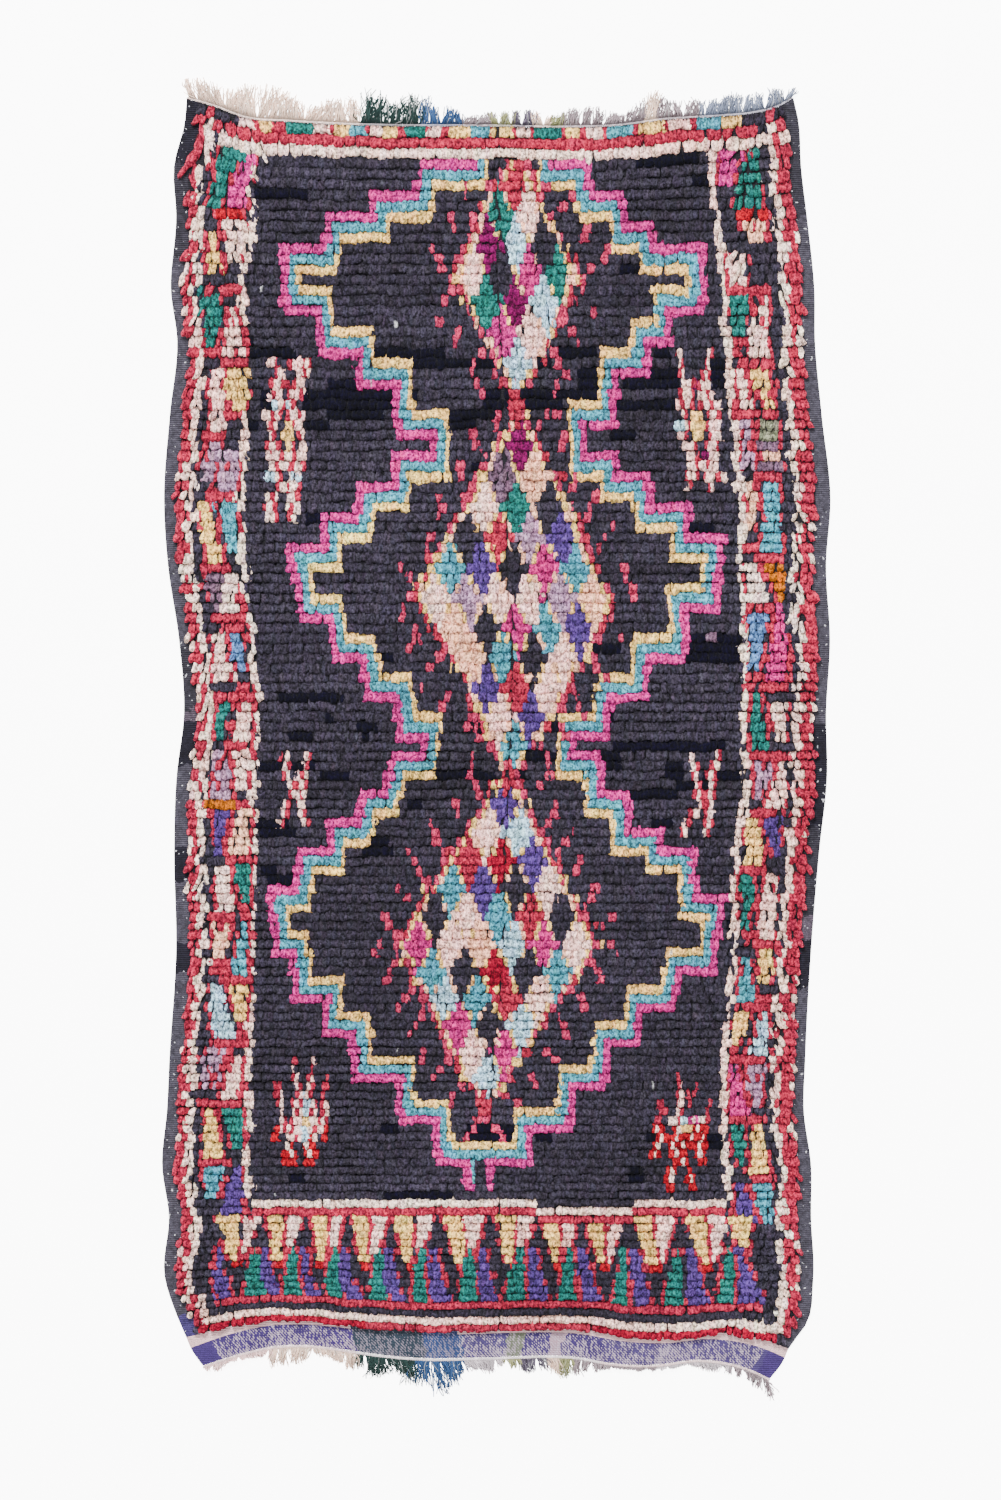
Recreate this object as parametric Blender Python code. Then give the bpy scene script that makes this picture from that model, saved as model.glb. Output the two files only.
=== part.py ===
"""A hand-knotted pile rug lying flat, with a twined fringe at each end.

Units are metres, +Z is up, the rug's first-woven end points to +Y and its
underside lies on z = 0. Three solids: the woven cloth (pile, selvedges and the
flat-woven end are one piece), the top fringe and the bottom fringe.
"""
import math
import random
from collections import namedtuple

import bmesh
import bpy
import numpy as np
from mathutils import Matrix

MM = 0.001

# Driving sizes of the cloth
CLOTH_LENGTH = 2.534      # along the middle, from the first knots to the last flat weft
FLAT_END = 0.056          # flat-woven band after the last row of knots
SELVEDGE = 0.022          # share of the width that each flat selvedge takes
SHOULDER = 0.007          # share of the width over which the pile rises
FOLD_AT = 0.512           # share of the width where the lengthwise fold ran
FOLD_HALF = 0.010         # half the share of the width that the fold's trough takes
CURVE_REACH = 0.06        # share of the length over which an end's curve fades out of the rows

# The knotted rows, raised as ribs
ROWS = 128
ROW_SPREAD = 0.1187       # how much further apart the first rows lie than an even share
ROW_CLOSING = 2.76        # how late along the rug the rows close up
CREST_AT = 0.65           # where a row's crest lies between its two creases

# Heights above the floor
FLAT_HEIGHT = 0.0035      # flat weave and selvedge
CREASE_HEIGHT = 0.0105    # pile at the crease between two rows
CREST_HEIGHT = 0.0155     # pile at a row's crest
EDGE_PILE_HEIGHT = 0.0075  # pile at the very first row's outer edge
LUMP = 0.0012             # how far the pile swells and sinks over the rug
FOLD_DEPTH = 0.0035       # how much lower the parted pile lies along the fold

# The fringes
GAP = 0.00035             # clear space between a fringe's twined edge and the cloth
TWINE_WIDTH = 0.0075      # twined edge that holds the fringe's locks
TWINE_HEIGHT = 0.0040
LOCK_PITCH = 0.0145       # spacing of the locks along the edge
LOCK_SHARE = 0.48         # share of the pitch that a lock's root fills
LOCK_STEPS = 3            # straight stretches in one lock
LOCK_HEIGHT = 0.0030
TIP_WIDTH = 0.0026
TIP_HEIGHT = 0.0012
SHORTEST_LOCK = 0.004     # below this a place along the edge has no lock

# Outline of the two sides, from the top corners (down 0) to the bottom ones (down 1)
Side = namedtuple("Side", "down left_mm right_mm")
SIDES = (
    Side(0.000, 640, 609),
    Side(0.019, 645, 621),
    Side(0.044, 666, 625),
    Side(0.076, 662, 637),
    Side(0.133, 673, 653),
    Side(0.173, 660, 654),
    Side(0.234, 675, 668),
    Side(0.303, 687, 686),
    Side(0.356, 679, 677),
    Side(0.417, 656, 685),
    Side(0.478, 646, 677),
    Side(0.527, 661, 679),
    Side(0.588, 666, 663),
    Side(0.669, 662, 646),
    Side(0.758, 676, 634),
    Side(0.799, 681, 631),
    Side(0.844, 691, 646),
    Side(0.885, 677, 646),
    Side(0.934, 685, 650),
    Side(0.961, 661, 637),
    Side(0.977, 642, 601),
    Side(0.988, 629, 586),
    Side(1.000, 607, 561),
)

# How far each end stands out beyond its middle, from the left corner to the right one
End = namedtuple("End", "across out_mm")
TOP_END = (
    End(0.000, 58),
    End(0.046, 41),
    End(0.096, 18),
    End(0.170, 10),
    End(0.260, 4),
    End(0.520, 0),
    End(0.620, -2),
    End(0.715, 2),
    End(0.790, 14),
    End(0.880, 21),
    End(0.932, 27),
    End(0.979, 43),
    End(1.000, 60),
)
BOTTOM_END = (
    End(0.000, 17),
    End(0.056, -4),
    End(0.120, -22),
    End(0.190, -25),
    End(0.250, -16),
    End(0.310, -6),
    End(0.400, 2),
    End(0.500, 0),
    End(0.665, 0),
    End(0.720, 12),
    End(0.790, 16),
    End(0.880, 5),
    End(0.920, 10),
    End(0.974, 29),
    End(1.000, 44),
)

# Length and sideways lean of the locks along each end
Lock = namedtuple("Lock", "across length_mm lean")
TOP_LOCKS = (
    Lock(0.00, 40, -0.30),
    Lock(0.04, 47, -0.05),
    Lock(0.09, 62, 0.10),
    Lock(0.20, 56, 0.05),
    Lock(0.30, 58, 0.00),
    Lock(0.37, 60, 0.10),
    Lock(0.41, 45, 0.00),
    Lock(0.47, 27, 0.10),
    Lock(0.60, 33, 0.00),
    Lock(0.65, 44, 0.05),
    Lock(0.71, 27, 0.10),
    Lock(0.76, 50, 0.05),
    Lock(0.82, 34, 0.10),
    Lock(0.88, 38, 0.05),
    Lock(0.97, 35, 0.05),
    Lock(1.00, 28, 0.00),
)
BOTTOM_LOCKS = (
    Lock(0.00, 0, 0.00),
    Lock(0.11, 0, 0.00),
    Lock(0.12, 36, -0.10),
    Lock(0.26, 34, 0.05),
    Lock(0.33, 46, 0.10),
    Lock(0.39, 60, 0.10),
    Lock(0.42, 60, 0.15),
    Lock(0.45, 36, 0.15),
    Lock(0.50, 28, 0.10),
    Lock(0.53, 12, 0.10),
    Lock(0.56, 27, 0.10),
    Lock(0.62, 58, 0.00),
    Lock(0.66, 38, 0.00),
    Lock(0.70, 12, 0.05),
    Lock(0.85, 9, 0.05),
    Lock(0.88, 25, 0.05),
    Lock(0.92, 16, 0.05),
    Lock(0.97, 22, 0.15),
    Lock(1.00, 54, 0.20),
)


def clear_scene():
    """Remove every object that the open file holds."""
    for item in list(bpy.data.objects):
        bpy.data.objects.remove(item, do_unlink=True)


def table_curve(table, column, at):
    """Read a column of a table at a place, on one smooth curve through its rows."""
    places = np.array([row[0] for row in table])
    values = np.array([getattr(row, column) for row in table], dtype=float)
    slopes = np.gradient(values, places)
    k = int(np.clip(np.searchsorted(places, at) - 1, 0, len(places) - 2))
    span = places[k + 1] - places[k]
    t = (at - places[k]) / span
    start = (1 + 2 * t) * (1 - t) ** 2 * values[k] + t * (1 - t) ** 2 * slopes[k] * span
    end = t * t * (3 - 2 * t) * values[k + 1] + t * t * (t - 1) * slopes[k + 1] * span
    return start + end


def table_line(table, column, at):
    """Read a column of a table at a place, on straight lines between its rows."""
    places = [row[0] for row in table]
    values = [getattr(row, column) for row in table]
    return float(np.interp(at, places, values))


def cloth_point(across, down):
    """Place on the floor of a point given by its shares of the width and the length."""
    left = -table_curve(SIDES, "left_mm", down) * MM
    right = table_curve(SIDES, "right_mm", down) * MM
    top = table_curve(TOP_END, "out_mm", across) * MM * math.exp(-((down / CURVE_REACH) ** 2))
    bottom = table_curve(BOTTOM_END, "out_mm", across) * MM
    bottom *= math.exp(-(((1 - down) / CURVE_REACH) ** 2))
    return left + (right - left) * across, top - CLOTH_LENGTH * down - bottom


def row_down(row):
    """Share of the cloth's length at a row, counted from 0 at the first crease."""
    t = row / ROWS
    share = (1 + ROW_SPREAD) * t - ROW_SPREAD * t ** ROW_CLOSING
    return share * (1 - FLAT_END / CLOTH_LENGTH)


def column_shares():
    """Shares of the width where the cloth's surface has a line of points."""
    inner = [0.12, 0.23, 0.35, FOLD_AT - FOLD_HALF, FOLD_AT, FOLD_AT + FOLD_HALF, 0.61, 0.71, 0.83]
    left = [0.0, SELVEDGE, SELVEDGE + SHOULDER]
    right = [1 - SELVEDGE - SHOULDER, 1 - SELVEDGE, 1.0]
    return left + inner + right


def pile_lump(across, down):
    """Slow swelling of the pile, and its trough along the fold."""
    swell = math.sin(9.1 * across + 4.0 * down) * math.cos(17.0 * down - 3.0 * across)
    ripple = 0.5 * math.sin(31.0 * across + 53.0 * down)
    in_fold = max(0.0, 1 - abs(across - FOLD_AT) / (1.5 * FOLD_HALF))
    return LUMP * (swell + ripple) - FOLD_DEPTH * in_fold


def surface_height(across, down, pile_height):
    """Height of the cloth's top face: flat at the selvedges, piled between them."""
    from_side = min(across, 1 - across)
    if from_side <= SELVEDGE + 1e-9:
        return FLAT_HEIGHT
    return pile_height + pile_lump(across, down)


def surface_lines():
    """Each crosswise line of points, as its share of the length and its pile height."""
    lines = [(0.0, EDGE_PILE_HEIGHT)]
    for row in range(ROWS):
        lines.append((row_down(row + CREST_AT), CREST_HEIGHT))
        lines.append((row_down(row + 1), CREASE_HEIGHT))
    return lines


def make_material(name, color, roughness):
    """A plain dyed-yarn material."""
    material = bpy.data.materials.new(name)
    material.use_nodes = True
    shader = material.node_tree.nodes["Principled BSDF"]
    shader.inputs["Base Color"].default_value = (*color, 1.0)
    shader.inputs["Roughness"].default_value = roughness
    shader.inputs["Metallic"].default_value = 0.0
    return material


def finish_object(name, bm, material):
    """Turn a finished bmesh into a named object with one material."""
    bmesh.ops.recalc_face_normals(bm, faces=bm.faces)
    mesh = bpy.data.meshes.new(name)
    bm.to_mesh(mesh)
    bm.free()
    mesh.materials.append(material)
    item = bpy.data.objects.new(name, mesh)
    bpy.context.collection.objects.link(item)
    return item


def ring_of(grid):
    """The border points of a grid of points, in order around it."""
    top = grid[0]
    right = [line[-1] for line in grid[1:]]
    bottom = grid[-1][-2::-1]
    left = [line[0] for line in grid[-2:0:-1]]
    return top + right + bottom + left


def build_cloth(material):
    """The woven cloth: a ribbed, lumpy pile slab between flat selvedges and a flat end."""
    bm = bmesh.new()
    columns = column_shares()
    grid = []
    for down, pile_height in surface_lines():
        line = []
        for across in columns:
            x, y = cloth_point(across, down)
            line.append(bm.verts.new((x, y, surface_height(across, down, pile_height))))
        grid.append(line)
    flat_start = row_down(ROWS) + 0.004 / CLOTH_LENGTH
    for down in (flat_start, 1.0):
        points = [cloth_point(across, down) for across in columns]
        grid.append([bm.verts.new((x, y, FLAT_HEIGHT)) for x, y in points])
    for upper, lower in zip(grid, grid[1:]):
        for k in range(len(columns) - 1):
            bm.faces.new((upper[k], lower[k], lower[k + 1], upper[k + 1]))
    rim = ring_of(grid)
    floor = [bm.verts.new((point.co.x, point.co.y, 0.0)) for point in rim]
    for k, point in enumerate(rim):
        after = (k + 1) % len(rim)
        bm.faces.new((point, rim[after], floor[after], floor[k]))
    underside = bm.faces.new(floor)
    bmesh.ops.triangulate(bm, faces=[underside], ngon_method="BEAUTY")
    return finish_object("rug_cloth", bm, material)


def edge_cells(down):
    """Places along one end: the cloth's own corners and each lock's two root corners."""
    columns = column_shares()
    corners = [cloth_point(across, down) for across in columns]
    points = [(corners[0], columns[0], False)]
    for k in range(len(columns) - 1):
        start, end = np.array(corners[k]), np.array(corners[k + 1])
        cells = max(1, round(float(np.linalg.norm(end - start)) / LOCK_PITCH))
        for cell in range(cells):
            middle = (cell + 0.5) / cells
            half = LOCK_SHARE / (2 * cells)
            across = columns[k] + (columns[k + 1] - columns[k]) * middle
            points.append((tuple(start + (end - start) * (middle - half)), across, True))
            points.append((tuple(start + (end - start) * (middle + half)), across, False))
        points.append((tuple(end), columns[k + 1], False))
    return points


def twine_ring(bm, point, outward):
    """Four corners of the twined edge's section at one place along the cloth."""
    x, y = point
    near = y + outward * GAP
    far = y + outward * (GAP + TWINE_WIDTH)
    corners = ((x, near, 0.0), (x, near, TWINE_HEIGHT), (x, far, LOCK_HEIGHT), (x, far, 0.0))
    return [bm.verts.new(corner) for corner in corners]


def lock_section(bm, middle, half_width, height, y):
    """Four corners of a lock's section, its two lower ones on the floor."""
    low, high = middle - half_width, middle + half_width
    corners = ((low, y, 0.0), (low, y, height), (high, y, height), (high, y, 0.0))
    return [bm.verts.new(corner) for corner in corners]


def add_lock(bm, start_ring, end_ring, outward, length, lean, draw):
    """One lock of yarns, growing from the twined edge and lying level on the floor."""
    section = [start_ring[3], start_ring[2], end_ring[2], end_ring[3]]
    root_x = (start_ring[3].co.x + end_ring[3].co.x) / 2
    root_y = (start_ring[3].co.y + end_ring[3].co.y) / 2
    root_half = (end_ring[3].co.x - start_ring[3].co.x) / 2
    bend = draw.uniform(-1, 1) * 0.0022
    for step in range(1, LOCK_STEPS + 1):
        t = step / LOCK_STEPS
        middle = root_x + lean * length * t + bend * math.sin(math.pi * 1.3 * t)
        half = root_half + (TIP_WIDTH / 2 - root_half) * t ** 1.5
        height = LOCK_HEIGHT + (TIP_HEIGHT - LOCK_HEIGHT) * t
        following = lock_section(bm, middle, half, height, root_y + outward * length * t)
        for k in range(4):
            after = (k + 1) % 4
            bm.faces.new((section[k], section[after], following[after], following[k]))
        section = following
    bm.faces.new(section)


def build_fringe(name, down, outward, locks, material, seed):
    """A twined edge along one end of the cloth with its locks, as one solid."""
    bm = bmesh.new()
    draw = random.Random(seed)
    places = edge_cells(down)
    rings = [twine_ring(bm, point, outward) for point, _, _ in places]
    bm.faces.new(rings[0])
    bm.faces.new(rings[-1])
    for k in range(len(rings) - 1):
        here, after = rings[k], rings[k + 1]
        _, across, holds_lock = places[k]
        length = table_line(locks, "length_mm", across) * MM
        grows = holds_lock and length >= SHORTEST_LOCK
        for side in range(4):
            if side == 2 and grows:
                continue
            turn = (side + 1) % 4
            bm.faces.new((here[side], after[side], after[turn], here[turn]))
        if grows:
            lean = table_line(locks, "lean", across)
            length *= draw.uniform(0.80, 1.12)
            add_lock(bm, here, after, outward, length, lean, draw)
    return finish_object(name, bm, material)


def centre_on_origin(items):
    """Move all the meshes together so that the rug's box is centred over the origin."""
    corners = np.array([point.co for item in items for point in item.data.vertices])
    middle = (corners.min(axis=0) + corners.max(axis=0)) / 2
    for item in items:
        item.data.transform(Matrix.Translation((-middle[0], -middle[1], 0.0)))


def main():
    clear_scene()
    pile = make_material("knotted_pile", (0.075, 0.065, 0.085), 0.95)
    pale_yarn = make_material("top_fringe_yarn", (0.48, 0.42, 0.42), 0.9)
    lilac_yarn = make_material("bottom_fringe_yarn", (0.42, 0.38, 0.40), 0.9)
    cloth = build_cloth(pile)
    top = build_fringe("fringe_top", 0.0, 1, TOP_LOCKS, pale_yarn, 11)
    bottom = build_fringe("fringe_bottom", 1.0, -1, BOTTOM_LOCKS, lilac_yarn, 23)
    centre_on_origin([cloth, top, bottom])


main()
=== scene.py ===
# %% [markdown]
# # A hand-knotted pile rug, seen from above
#
# This lesson dresses the solid model of a rug as real yarn. The solid model gives the
# outline, the size and the place of every row. Here each knot of the pile becomes a tuft
# of its own dyed colour, the fringes become loose yarns, and the flat-woven parts get
# their weave. Run the cells from top to bottom.

# %% Load the solid model and keep its box
import math
from collections import namedtuple

import bpy
import numpy as np
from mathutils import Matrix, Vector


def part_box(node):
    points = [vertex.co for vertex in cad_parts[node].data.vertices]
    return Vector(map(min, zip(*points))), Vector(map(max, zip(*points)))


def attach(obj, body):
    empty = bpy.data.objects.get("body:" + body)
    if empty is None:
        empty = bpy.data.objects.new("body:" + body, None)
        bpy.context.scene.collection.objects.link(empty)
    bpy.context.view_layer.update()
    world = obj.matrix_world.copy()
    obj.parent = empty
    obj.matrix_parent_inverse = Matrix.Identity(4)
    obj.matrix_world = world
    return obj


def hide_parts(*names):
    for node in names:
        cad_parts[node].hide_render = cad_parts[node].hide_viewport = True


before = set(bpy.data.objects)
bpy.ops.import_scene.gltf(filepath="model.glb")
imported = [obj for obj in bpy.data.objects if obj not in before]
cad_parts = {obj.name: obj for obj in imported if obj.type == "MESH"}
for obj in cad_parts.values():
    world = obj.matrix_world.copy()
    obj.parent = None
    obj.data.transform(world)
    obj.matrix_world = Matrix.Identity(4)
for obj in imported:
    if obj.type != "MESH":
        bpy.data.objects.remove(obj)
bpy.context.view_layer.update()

MM = 0.001

# %% [markdown]
# ## The rug's outline
#
# A village rug is never quite straight: its sides wander by a few centimetres, and both
# ends bow. Everything below is placed by two shares, across the width and down the
# length, so one function has to turn a pair of shares into a place on the floor. It reads
# the sides and ends from short tables, on smooth curves through their rows, exactly as
# the solid model was made. Working in shares keeps a row of knots a row, wherever the
# outline goes.

# %% Outline of the cloth
CLOTH_LENGTH = 2.534      # in the middle, without the fringes
MEAN_WIDTH = 1.322        # between the selvedges' outer edges, along the whole length
FLAT_END = 0.056          # flat-woven band after the last row of knots
SELVEDGE = 0.022          # share of the width that each flat selvedge takes
FOLD_AT = 0.512           # share of the width where the rug was folded lengthwise
FOLD_HALF = 0.010         # half the fold's width, as a share of the rug's
CURVE_REACH = 0.06        # share of the length over which an end's bow dies away
ROWS = 128                # rows of knots
KNOTS = 165               # knots in a row, between the selvedges
ROW_SPREAD = 0.1187       # how much higher the first rows are than the average one
ROW_CLOSING = 2.76        # how late the rows close up
END_PLACES = 400          # places along an end where its furthest point is looked for

SIDE_DOWN = (0, .019, .044, .076, .133, .173, .234, .303, .356, .417, .478, .527,
             .588, .669, .758, .799, .844, .885, .934, .961, .977, .988, 1)
LEFT_MM = (640, 645, 666, 662, 673, 660, 675, 687, 679, 656, 646, 661,
           666, 662, 676, 681, 691, 677, 685, 661, 642, 629, 607)
RIGHT_MM = (609, 621, 625, 637, 653, 654, 668, 686, 677, 685, 677, 679,
            663, 646, 634, 631, 646, 646, 650, 637, 601, 586, 561)
TOP_ACROSS = (0, .046, .096, .17, .26, .52, .62, .715, .79, .88, .932, .979, 1)
TOP_OUT_MM = (58, 41, 18, 10, 4, 0, -2, 2, 14, 21, 27, 43, 60)
BOTTOM_ACROSS = (0, .056, .12, .19, .25, .31, .4, .5, .665, .72, .79, .88, .92, .974, 1)
BOTTOM_OUT_MM = (17, -4, -22, -25, -16, -6, 2, 0, 0, 12, 16, 5, 10, 29, 44)


def smooth_curve(places, values, at):
    """Values at some places, on one smooth curve through a table's points."""
    places, values = np.array(places, float), np.array(values, float)
    slopes = np.gradient(values, places)
    k = np.clip(np.searchsorted(places, at) - 1, 0, len(places) - 2)
    span = places[k + 1] - places[k]
    t = (at - places[k]) / span
    start = (1 + 2 * t) * (1 - t) ** 2 * values[k] + t * (1 - t) ** 2 * slopes[k] * span
    end = t * t * (3 - 2 * t) * values[k + 1] + t * t * (t - 1) * slopes[k + 1] * span
    return start + end


def loom_point(across, down):
    """Place of a pair of shares, before the rug is centred on the origin."""
    left = -smooth_curve(SIDE_DOWN, LEFT_MM, down) * MM
    right = smooth_curve(SIDE_DOWN, RIGHT_MM, down) * MM
    top = smooth_curve(TOP_ACROSS, TOP_OUT_MM, across) * MM
    bottom = smooth_curve(BOTTOM_ACROSS, BOTTOM_OUT_MM, across) * MM
    top = top * np.exp(-((down / CURVE_REACH) ** 2))
    bottom = bottom * np.exp(-(((1 - down) / CURVE_REACH) ** 2))
    return left + (right - left) * across, top - CLOTH_LENGTH * down - bottom


def row_down(row):
    """Share of the length at which a row starts: rows close up towards the last one."""
    t = row / ROWS
    share = (1 + ROW_SPREAD) * t - ROW_SPREAD * t ** ROW_CLOSING
    return share * (1 - FLAT_END / CLOTH_LENGTH)


side_down = np.concatenate([[0.0], row_down(np.arange(1, ROWS + 1)), [1.0]])
cloth_low, cloth_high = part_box("rug_cloth")
shift_x = cloth_low[0] - loom_point(np.zeros_like(side_down), side_down)[0].min()
end_across = np.linspace(0, 1, END_PLACES)
shift_y = cloth_high[1] - loom_point(end_across, np.zeros_like(end_across))[1].max()


def cloth_point(across, down):
    """Place on the floor of a point given by its shares of the width and the length."""
    x, y = loom_point(np.asarray(across, float), np.asarray(down, float))
    return x + shift_x, y + shift_y


print("outline moved by", round(shift_x * 1000, 1), round(shift_y * 1000, 1), "mm")

# %% [markdown]
# ## The camera
#
# The rug lies flat and is seen straight from above, from far enough away that its edges
# stay straight. A long lens does that. The frame is taller than it is wide, so the
# lens's 36 mm side is the height of the picture.

# %% Camera straight above
PICTURE_PIXELS = (1001, 1500)
PIXEL = 0.00206                       # metres of floor under one pixel of the picture
FIRST_KNOTS_PIXEL = (497.5, 127.0)    # where the middle of the first row is in the picture
LENS_MM = 100
SENSOR_MM = 36

view_x = (PICTURE_PIXELS[0] / 2 - FIRST_KNOTS_PIXEL[0]) * PIXEL + shift_x
view_y = (FIRST_KNOTS_PIXEL[1] - PICTURE_PIXELS[1] / 2) * PIXEL + shift_y
camera_height = PICTURE_PIXELS[1] * PIXEL * LENS_MM / SENSOR_MM
bpy.ops.object.camera_add(location=(view_x, view_y, camera_height), rotation=(0, 0, 0))
camera = bpy.context.object
camera.data.lens = LENS_MM
camera.data.sensor_width = SENSOR_MM
bpy.context.scene.camera = camera
print("camera", round(camera_height, 2), "m above the floor")

# %% [markdown]
# ## The dyed yarns
#
# The pile is made of reused yarns: a charcoal ground, a nearly black one where it ran
# out, and some twenty colours in small amounts. Each gets one letter, as on a weaver's
# chart, and its colour is written as the eye sees it on a screen, from 0 to 255. A yarn
# reflects less light than that, and the camera's soft tone curve makes deep colours pale,
# so a small function makes each colour purer and deeper before it is used.

# %% Yarn colours by letter, as they look on a screen
YARNS = {
    "k": (72, 68, 78),      # charcoal ground
    "n": (31, 26, 50),      # nearly black
    "p": (222, 92, 166),    # pink
    "t": (118, 172, 186),   # teal
    "y": (252, 218, 162),   # yellow
    "c": (196, 82, 106),    # coral
    "a": (210, 96, 128),    # pinkish coral
    "w": (252, 216, 206),   # cream
    "q": (250, 210, 203),   # pinkish white
    "g": (78, 142, 136),    # green
    "v": (108, 88, 142),    # purple
    "m": (150, 26, 116),    # deep magenta
    "b": (184, 206, 218),   # light blue
    "h": (220, 88, 158),    # hot pink
    "o": (210, 140, 62),    # orange
    "s": (120, 146, 182),   # steel blue
    "l": (174, 148, 168),   # lilac
    "e": (246, 200, 180),   # peach
    "r": (204, 42, 76),     # red
    "u": (122, 103, 118),   # mauve grey
    "x": (190, 44, 88),     # crimson
    "i": (140, 142, 126),   # grey green
}
SCREEN_GAMMA = 2.2
PURER = 1.20              # how much further from grey a dye is than it looks
DEEPEN = 1.35             # over 1 deepens dark dyes more than pale ones
HOLD_BACK = 0.50          # how much light the strongest dyes lose, which keeps them strong
BRIGHTEN = 1.14           # lightens all the dyes a little
GREY_SHARES = (0.21, 0.72, 0.07)      # how bright red, green and blue light look
LEAST_LIGHT = 0.002


def reflectance(screen_colour):
    """What a yarn reflects, from its colour as seen on a screen."""
    light = (np.array(screen_colour, float) / 255) ** SCREEN_GAMMA
    grey = light @ GREY_SHARES
    light = np.clip(grey + PURER * (light - grey), LEAST_LIGHT, None)
    strength = 1 - light.min() / light.max()
    return BRIGHTEN * light ** DEEPEN * (1 - HOLD_BACK * strength ** 2)


print(len(YARNS), "yarn colours")

# %% [markdown]
# ## The weaver's chart
#
# The design is counted in knots and rows, so the chart is an array with one letter for
# each knot. Motifs are laid on it with a few small functions: a plain bar, a block whose
# sides slant, a line of single knots, and a motif written out as rows of letters. A dot
# leaves the ground as it is. Drawing motifs from counts, instead of painting a picture,
# is how such a rug is designed, and it keeps every edge on a knot.

# %% An empty chart, and the ways to lay yarn on it
chart = np.full((ROWS, KNOTS), "k")
row_mid = np.arange(ROWS) + 0.5
knot_mid = np.arange(KNOTS) + 0.5
hand = np.random.default_rng(41)      # the unevenness of hand work, the same each run
DOUBLE_SHARE = 0.55       # share of a stroke's steps that are two knots wide
EDGING = (0.2, 1.4)       # how far a block's coral edging reaches, in knots


def lay(top, foot, start, stop, yarn):
    """A bar of one yarn over some rows and knots."""
    rows = (row_mid >= top) & (row_mid < foot)
    knots = (knot_mid >= start) & (knot_mid < stop)
    chart[np.ix_(rows, knots)] = yarn


def lay_rows(first_row, first_knot, lines):
    """A motif written out as rows of letters, a dot for the ground."""
    for line_number, line in enumerate(lines):
        for knot_number, yarn in enumerate(line):
            if yarn != ".":
                chart[first_row + line_number, first_knot + knot_number] = yarn


def lay_stroke(knot_a, row_a, knot_b, row_b, yarn):
    """A slanting line of single and double knots."""
    steps = max(1, round(max(abs(row_b - row_a), abs(knot_b - knot_a) / 2)))
    for step in range(steps + 1):
        t = step / steps
        row = int(row_a + (row_b - row_a) * t)
        knot = int(knot_a + (knot_b - knot_a) * t)
        width = 1 + (hand.random() < DOUBLE_SHARE)
        chart[row, knot:knot + width] = yarn


Block = namedtuple("Block", "top foot top_from top_to foot_from foot_to yarn")


def as_blocks(table):
    """Blocks from rows of numbers; a row with one pair of knots is an upright block."""
    return [Block(*row) if len(row) == len(Block._fields) else Block(*row[:4], *row[2:])
            for row in table]


def block_spans(block):
    """The rows of a slanting block, each with the knots where it starts and stops."""
    for row in np.flatnonzero((row_mid >= block.top) & (row_mid < block.foot)):
        t = (row_mid[row] - block.top) / (block.foot - block.top)
        start = block.top_from + (block.foot_from - block.top_from) * t
        stop = block.top_to + (block.foot_to - block.top_to) * t
        yield row, start, stop


def lay_blocks(blocks, edge="c"):
    """Slanting blocks, first their single knots of edging and then their own yarn."""
    for block in blocks:
        for row, start, stop in block_spans(block):
            ragged = hand.uniform(*EDGING, 2)
            inside = (knot_mid >= start - ragged[0]) & (knot_mid < stop + ragged[1])
            chart[row, inside] = edge
    for block in blocks:
        for row, start, stop in block_spans(block):
            inside = (knot_mid >= start) & (knot_mid < stop)
            chart[row, inside] = block.yarn


# %% [markdown]
# The field comes first. Where the charcoal ran out the weaver went on with a nearly black
# yarn, for a row or two at a time, and those short bars are a large part of the rug's
# character.

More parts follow.
